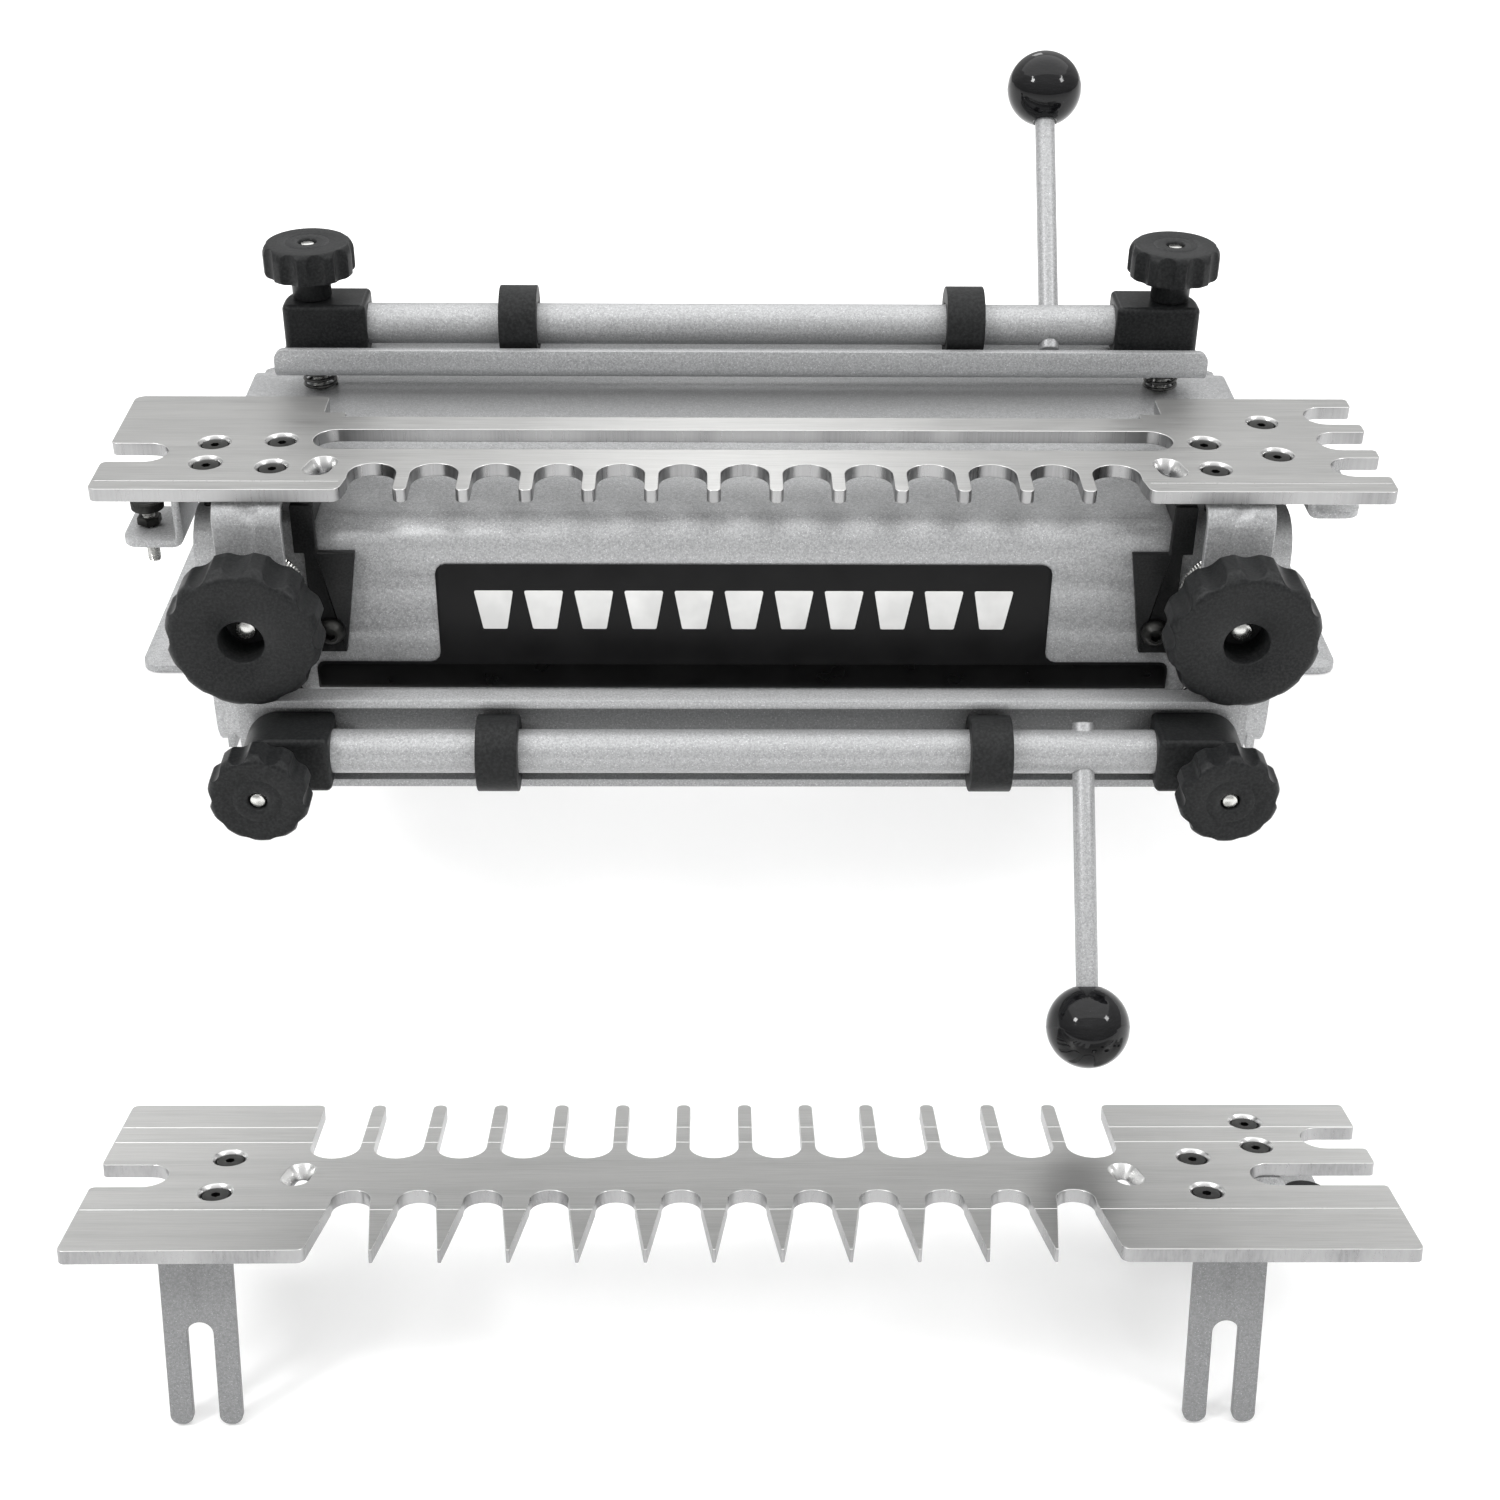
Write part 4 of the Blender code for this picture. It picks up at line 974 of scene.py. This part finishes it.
def fork_bracket(node, at, drop, look=LOOKS["silver_paint"]):
    """A forked L bracket; at is the frame at its top face over its front face, facing out."""
    reach, sheet, bend, half, prong = 56.0, 3.0, 8.5, 12.3, 4.4
    flat = reach - bend
    run = math.radians(90.0) * bend
    end = flat + run + drop - bend
    slot_top = flat + run + 32.3 - bend
    corners = [(-half, 0.0, 2.0), (half, 0.0, 2.0), (half, end, 3.4), (prong, end, 3.4)]
    corners += [(prong, slot_top, prong - 0.01), (-prong, slot_top, prong - 0.01)]
    corners += [(-prong, end, 3.4), (-half, end, 3.4)]
    mesh = plate_mesh(node, [rounded(corners)], -sheet, 0.0, 0.5, Matrix.Identity(4))
    place = at @ Matrix.Rotation(math.radians(180.0), 4, "Z") @ Matrix.Translation((0, -reach * MM, 0))
    obj = linked(f"{node}_folded", folded(mesh, flat, bend, place), look, 35.0)
    stands_for(even(obj), node)


def build_brackets():
    for side, _ in SIDES:
        node = f"{side}_template_bracket"
        low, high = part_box(node)
        at = Matrix.Translation(((low.x + high.x) / 2.0, low.y, high.z))
        fork_bracket(node, at, (high.z - low.z) / MM)
    inset, drop = 18.0, 71.7
    for (side, _), x in zip(SIDES, (-181.5, 163.3)):
        at = spare_frame() @ Matrix.Translation((x * MM, inset * MM, (-PLATE - 0.3) * MM))
        # The spare's brackets take the darker copy of the silver paint, which is painted shade.
        fork_bracket(f"spare_{side}_bracket", at, drop, LOOKS["shade_darkened_paint"])


def knurled(radius, depth, low, high, bore=4.4, teeth=90, layers=14):
    """A diamond-knurled rim between two plain chamfers."""
    rings = [[(x, y, low) for x, y in circle(0, 0, radius - 1.0, teeth * 4)]]
    for k in range(layers + 1):
        z = low + 0.5 + (high - low - 1.0) * k / layers
        ring = []
        for i in range(teeth * 4):
            angle = 2.0 * math.pi * i / (teeth * 4)
            lift = abs(((i / 4.0 + z * 0.9) % 1.0) - 0.5) + abs(((i / 4.0 - z * 0.9) % 1.0) - 0.5)
            r = radius - depth * lift
            ring.append((r * math.cos(angle), r * math.sin(angle), z))
        rings.append(ring)
    rings.append([(x, y, high) for x, y in circle(0, 0, radius - 1.0, teeth * 4)])
    for z in (high, low):
        rings.append([(x, y, z) for x, y in circle(0, 0, bore, teeth * 4)])
    return loft(rings, True)


def depth_screw(node, at, neck, top, rim, mouth, floor, run, look):
    """A knurled head with a hex socket from neck to top, and a thread that runs down from neck.

    rim is the knurl's (radius, depth), its teeth and its layers; mouth and floor are the
    socket's heights.
    """
    (radius, depth), teeth, layers = rim
    cap = knurled(radius, depth, neck, top, 2.6, teeth, layers)
    plug = socketed([(2.6, neck), (2.7, neck), (2.7, mouth)], 1.6, mouth, floor)
    stands_for(piece(f"{node}_head", *joined(cap, plug), at, look, 25.0), node)
    flip = at @ Matrix.Translation((0, 0, neck * MM)) @ Matrix.Rotation(math.radians(180.0), 4, "X")
    obj = piece(f"{node}_thread", *threaded(2.4, 0.8, 0.0, run, 24), flip, LOOKS["zinc_steel"], 60.0)
    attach(obj, BODY_OF[node])


def build_small_screws():
    """The guide screws, the depth gauge's screw and nut, and the spare's gauge knob."""
    for side, _ in SIDES:
        node = f"{side}_guide_screw"
        at, length = axis_frame(node, "out")
        neck = length - 4.4
        dome = [(5.0, neck), (5.2, neck + 0.3), (5.1, neck + 1.3), (4.6, neck + 2.6), (3.7, neck + 3.7)]
        head = socketed([(2.0, neck - 1.0), (2.2, neck), *dome, (2.9, length)], 1.8, length, length - 2.4)
        shape = joined(head, threaded(2.5, 0.8, 0.0, neck, 20))
        stands_for(piece(f"{node}_machined", *shape, at, LOOKS["black_oxide"], 40.0), node)
    node = "depth_gauge_screw"
    at, length = axis_frame(node, "up")
    neck = length - 3.9
    rim = ((6.2, 0.5), 44, 5)
    depth_screw(node, at, neck, length, rim, length - 0.4, neck + 0.8, neck, LOOKS["black_oxide"])
    at, length = axis_frame("depth_gauge_nut", "up")
    obj = piece("depth_gauge_nut_hex", *hex_nut(4.0, 2.8, 0.0, length), at, LOOKS["black_oxide"], 30.0)
    stands_for(obj, "depth_gauge_nut")
    node = "spare_depth_knob"
    at = spare_frame() @ Matrix.Translation((199.5 * MM, 64.0 * MM, 0))
    rim = ((8.0, 0.6), 50, 6)
    depth_screw(node, at, -20.7, -13.5, rim, -14.0, -18.0, 13.3, LOOKS["black_plastic"])


def build_badge():
    """A plain run of dovetail tails across the black badge, as a generic ornament."""
    low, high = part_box("front_label")
    at = Matrix.Translation((0.0, low.y, 0.0)) @ Matrix.Rotation(math.radians(90.0), 4, "X")
    count, step, top, bottom = 11, 18.4, 70.5, 54.5
    loops = []
    for k in range(count):
        x = (k - (count - 1) / 2.0) * step
        corners = [(x - 4.4, bottom, 0.7), (x + 4.4, bottom, 0.7), (x + 7.2, top, 0.7), (x - 7.2, top, 0.7)]
        loops.append(rounded(corners))
    mesh = plate_mesh("badge_tails", loops, 0.0, 0.14, 0.04, at)
    obj = linked("badge_tails", mesh, BADGE_WHITE)
    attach(obj, BODY_OF["front_label"])
    half, foot, head = 158.7, low.z / MM + 0.8, 39.4
    strip = rounded([(-half, foot, 1.0), (half, foot, 1.0), (half, head, 2.6), (-half, head, 2.6)])
    obj = linked("badge_strip", plate_mesh("badge_strip", [strip], 0.0, 0.1, 0.03, at), BADGE_STRIP)
    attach(obj, BODY_OF["front_label"])


def build_nuts():
    for side, _ in SIDES:
        node = f"{side}_adjusting_nut"
        at, length = axis_frame(node, "out")
        obj = piece(f"{node}_knurled", *knurled(18.0, 0.8, 0.0, length), at, LOOKS["zinc_steel"], 20.0)
        stands_for(obj, node)


# ------------------------------------------------------------- stage and light


def build_stage():
    """A pale floor under the spare template and a pale bench step under the jig's sole."""
    floor = Shader("floor_pale", 0.9, 0.0, Specular_IOR_Level=0.1, Emission_Strength=0.14)
    floor.set("Emission Color", (1.0, 1.0, 1.0, 1.0))
    mottle = floor.noise(floor.coordinates, 3.0, 2.0)
    floor.feed(floor.blend(mottle, (0.90, 0.90, 0.90), (0.92, 0.92, 0.92)), "Base Color")
    gap, cove, nose, wide, back = 0.4, 30.0, 12.0, 6000.0, 9000.0
    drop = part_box("spare_left_bracket")[0].z / MM - gap
    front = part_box("base_body")[0].y / MM + 14.0
    edge = [(-wide, drop), (front - cove, drop)]
    edge += arc((front - cove, drop + cove), cove, -90.0, 0.0, 12)
    edge += arc((front + nose, -nose - gap), nose, 180.0, 90.0, 12) + [(back, -gap)]
    points = [(x, y, z) for x in (-wide, wide) for y, z in edge]
    count = len(edge)
    faces = [[i, i + 1, count + i + 1, count + i] for i in range(count - 1)]
    ground = piece("ground", points, faces, Matrix.Identity(4), floor.material, 60.0)


def area_light(name, place, target, size, power):
    light = bpy.data.lights.new(name, "AREA")
    light.shape = "RECTANGLE"
    light.size, light.size_y = size
    light.energy = power
    obj = bpy.data.objects.new(name, light)
    obj.location = place
    obj.rotation_euler = (Vector(target) - Vector(place)).to_track_quat("-Z", "Y").to_euler()
    bpy.context.scene.collection.objects.link(obj)


def build_light():
    """A white studio: a sky that fades towards the horizon and four soft boxes."""
    world = bpy.data.worlds.new("studio")
    world.use_nodes = True
    tree = world.node_tree
    split = tree.nodes.new("ShaderNodeSeparateXYZ")
    tree.links.new(tree.nodes.new("ShaderNodeTexCoord").outputs["Generated"], split.inputs["Vector"])
    fade = tree.nodes.new("ShaderNodeMapRange")
    for socket, number in zip(RANGE_SOCKETS, (-0.1, 0.9, 0.32, 1.15)):
        fade.inputs[socket].default_value = number
    tree.links.new(split.outputs["Z"], fade.inputs["Value"])
    tree.links.new(fade.outputs["Result"], tree.nodes["Background"].inputs["Strength"])
    tree.nodes["Background"].inputs["Color"].default_value = (1.0, 1.0, 1.0, 1.0)
    bpy.context.scene.world = world
    bpy.context.scene.view_settings.view_transform = "Standard"
    middle = (0.0, 0.0, 0.05)
    area_light("overhead", (0.0, 0.3, 2.2), middle, (5.2, 3.4), 50.0)
    area_light("key_left", (-1.2, -0.8, 1.3), middle, (0.32, 0.32), 9.0)
    area_light("fill_right", (1.3, -0.6, 1.1), middle, (0.30, 0.30), 5.0)
    area_light("sheen", (0.0, 1.45, 0.98), (0.0, 0.0, 0.1), (0.3, 0.35), 1.0)


def build_camera():
    """The photograph's view, solved from the templates' regular fingers."""
    camera = bpy.data.cameras.new("camera")
    camera.sensor_width = 36.0
    camera.lens = 54.17
    camera.shift_x = 0.0067
    camera.clip_start = 0.01
    obj = bpy.data.objects.new("camera", camera)
    heading = Matrix.Rotation(math.radians(-0.79), 4, "Z")
    tilt = Matrix.Rotation(math.radians(90.0 - 32.26), 4, "X")
    roll = Matrix.Rotation(math.radians(0.48), 4, "Z")
    obj.matrix_world = Matrix.Translation((-0.0111, -0.7492, 0.4637)) @ heading @ tilt @ roll
    bpy.context.scene.collection.objects.link(obj)
    bpy.context.scene.camera = obj


def main():
    build_camera()
    build_light()
    build_stage()
    build_knobs()
    build_clamps()
    build_template()
    build_spare()
    build_nuts()
    build_badge()
    build_brackets()
    build_small_screws()
    shown = [n for n, obj in frame["nodes"].items() if not obj.hide_render]
    for node in sorted(shown):
        dress(node, 0.25 if "spring" in node or "screw" in node else 0.45)


main()
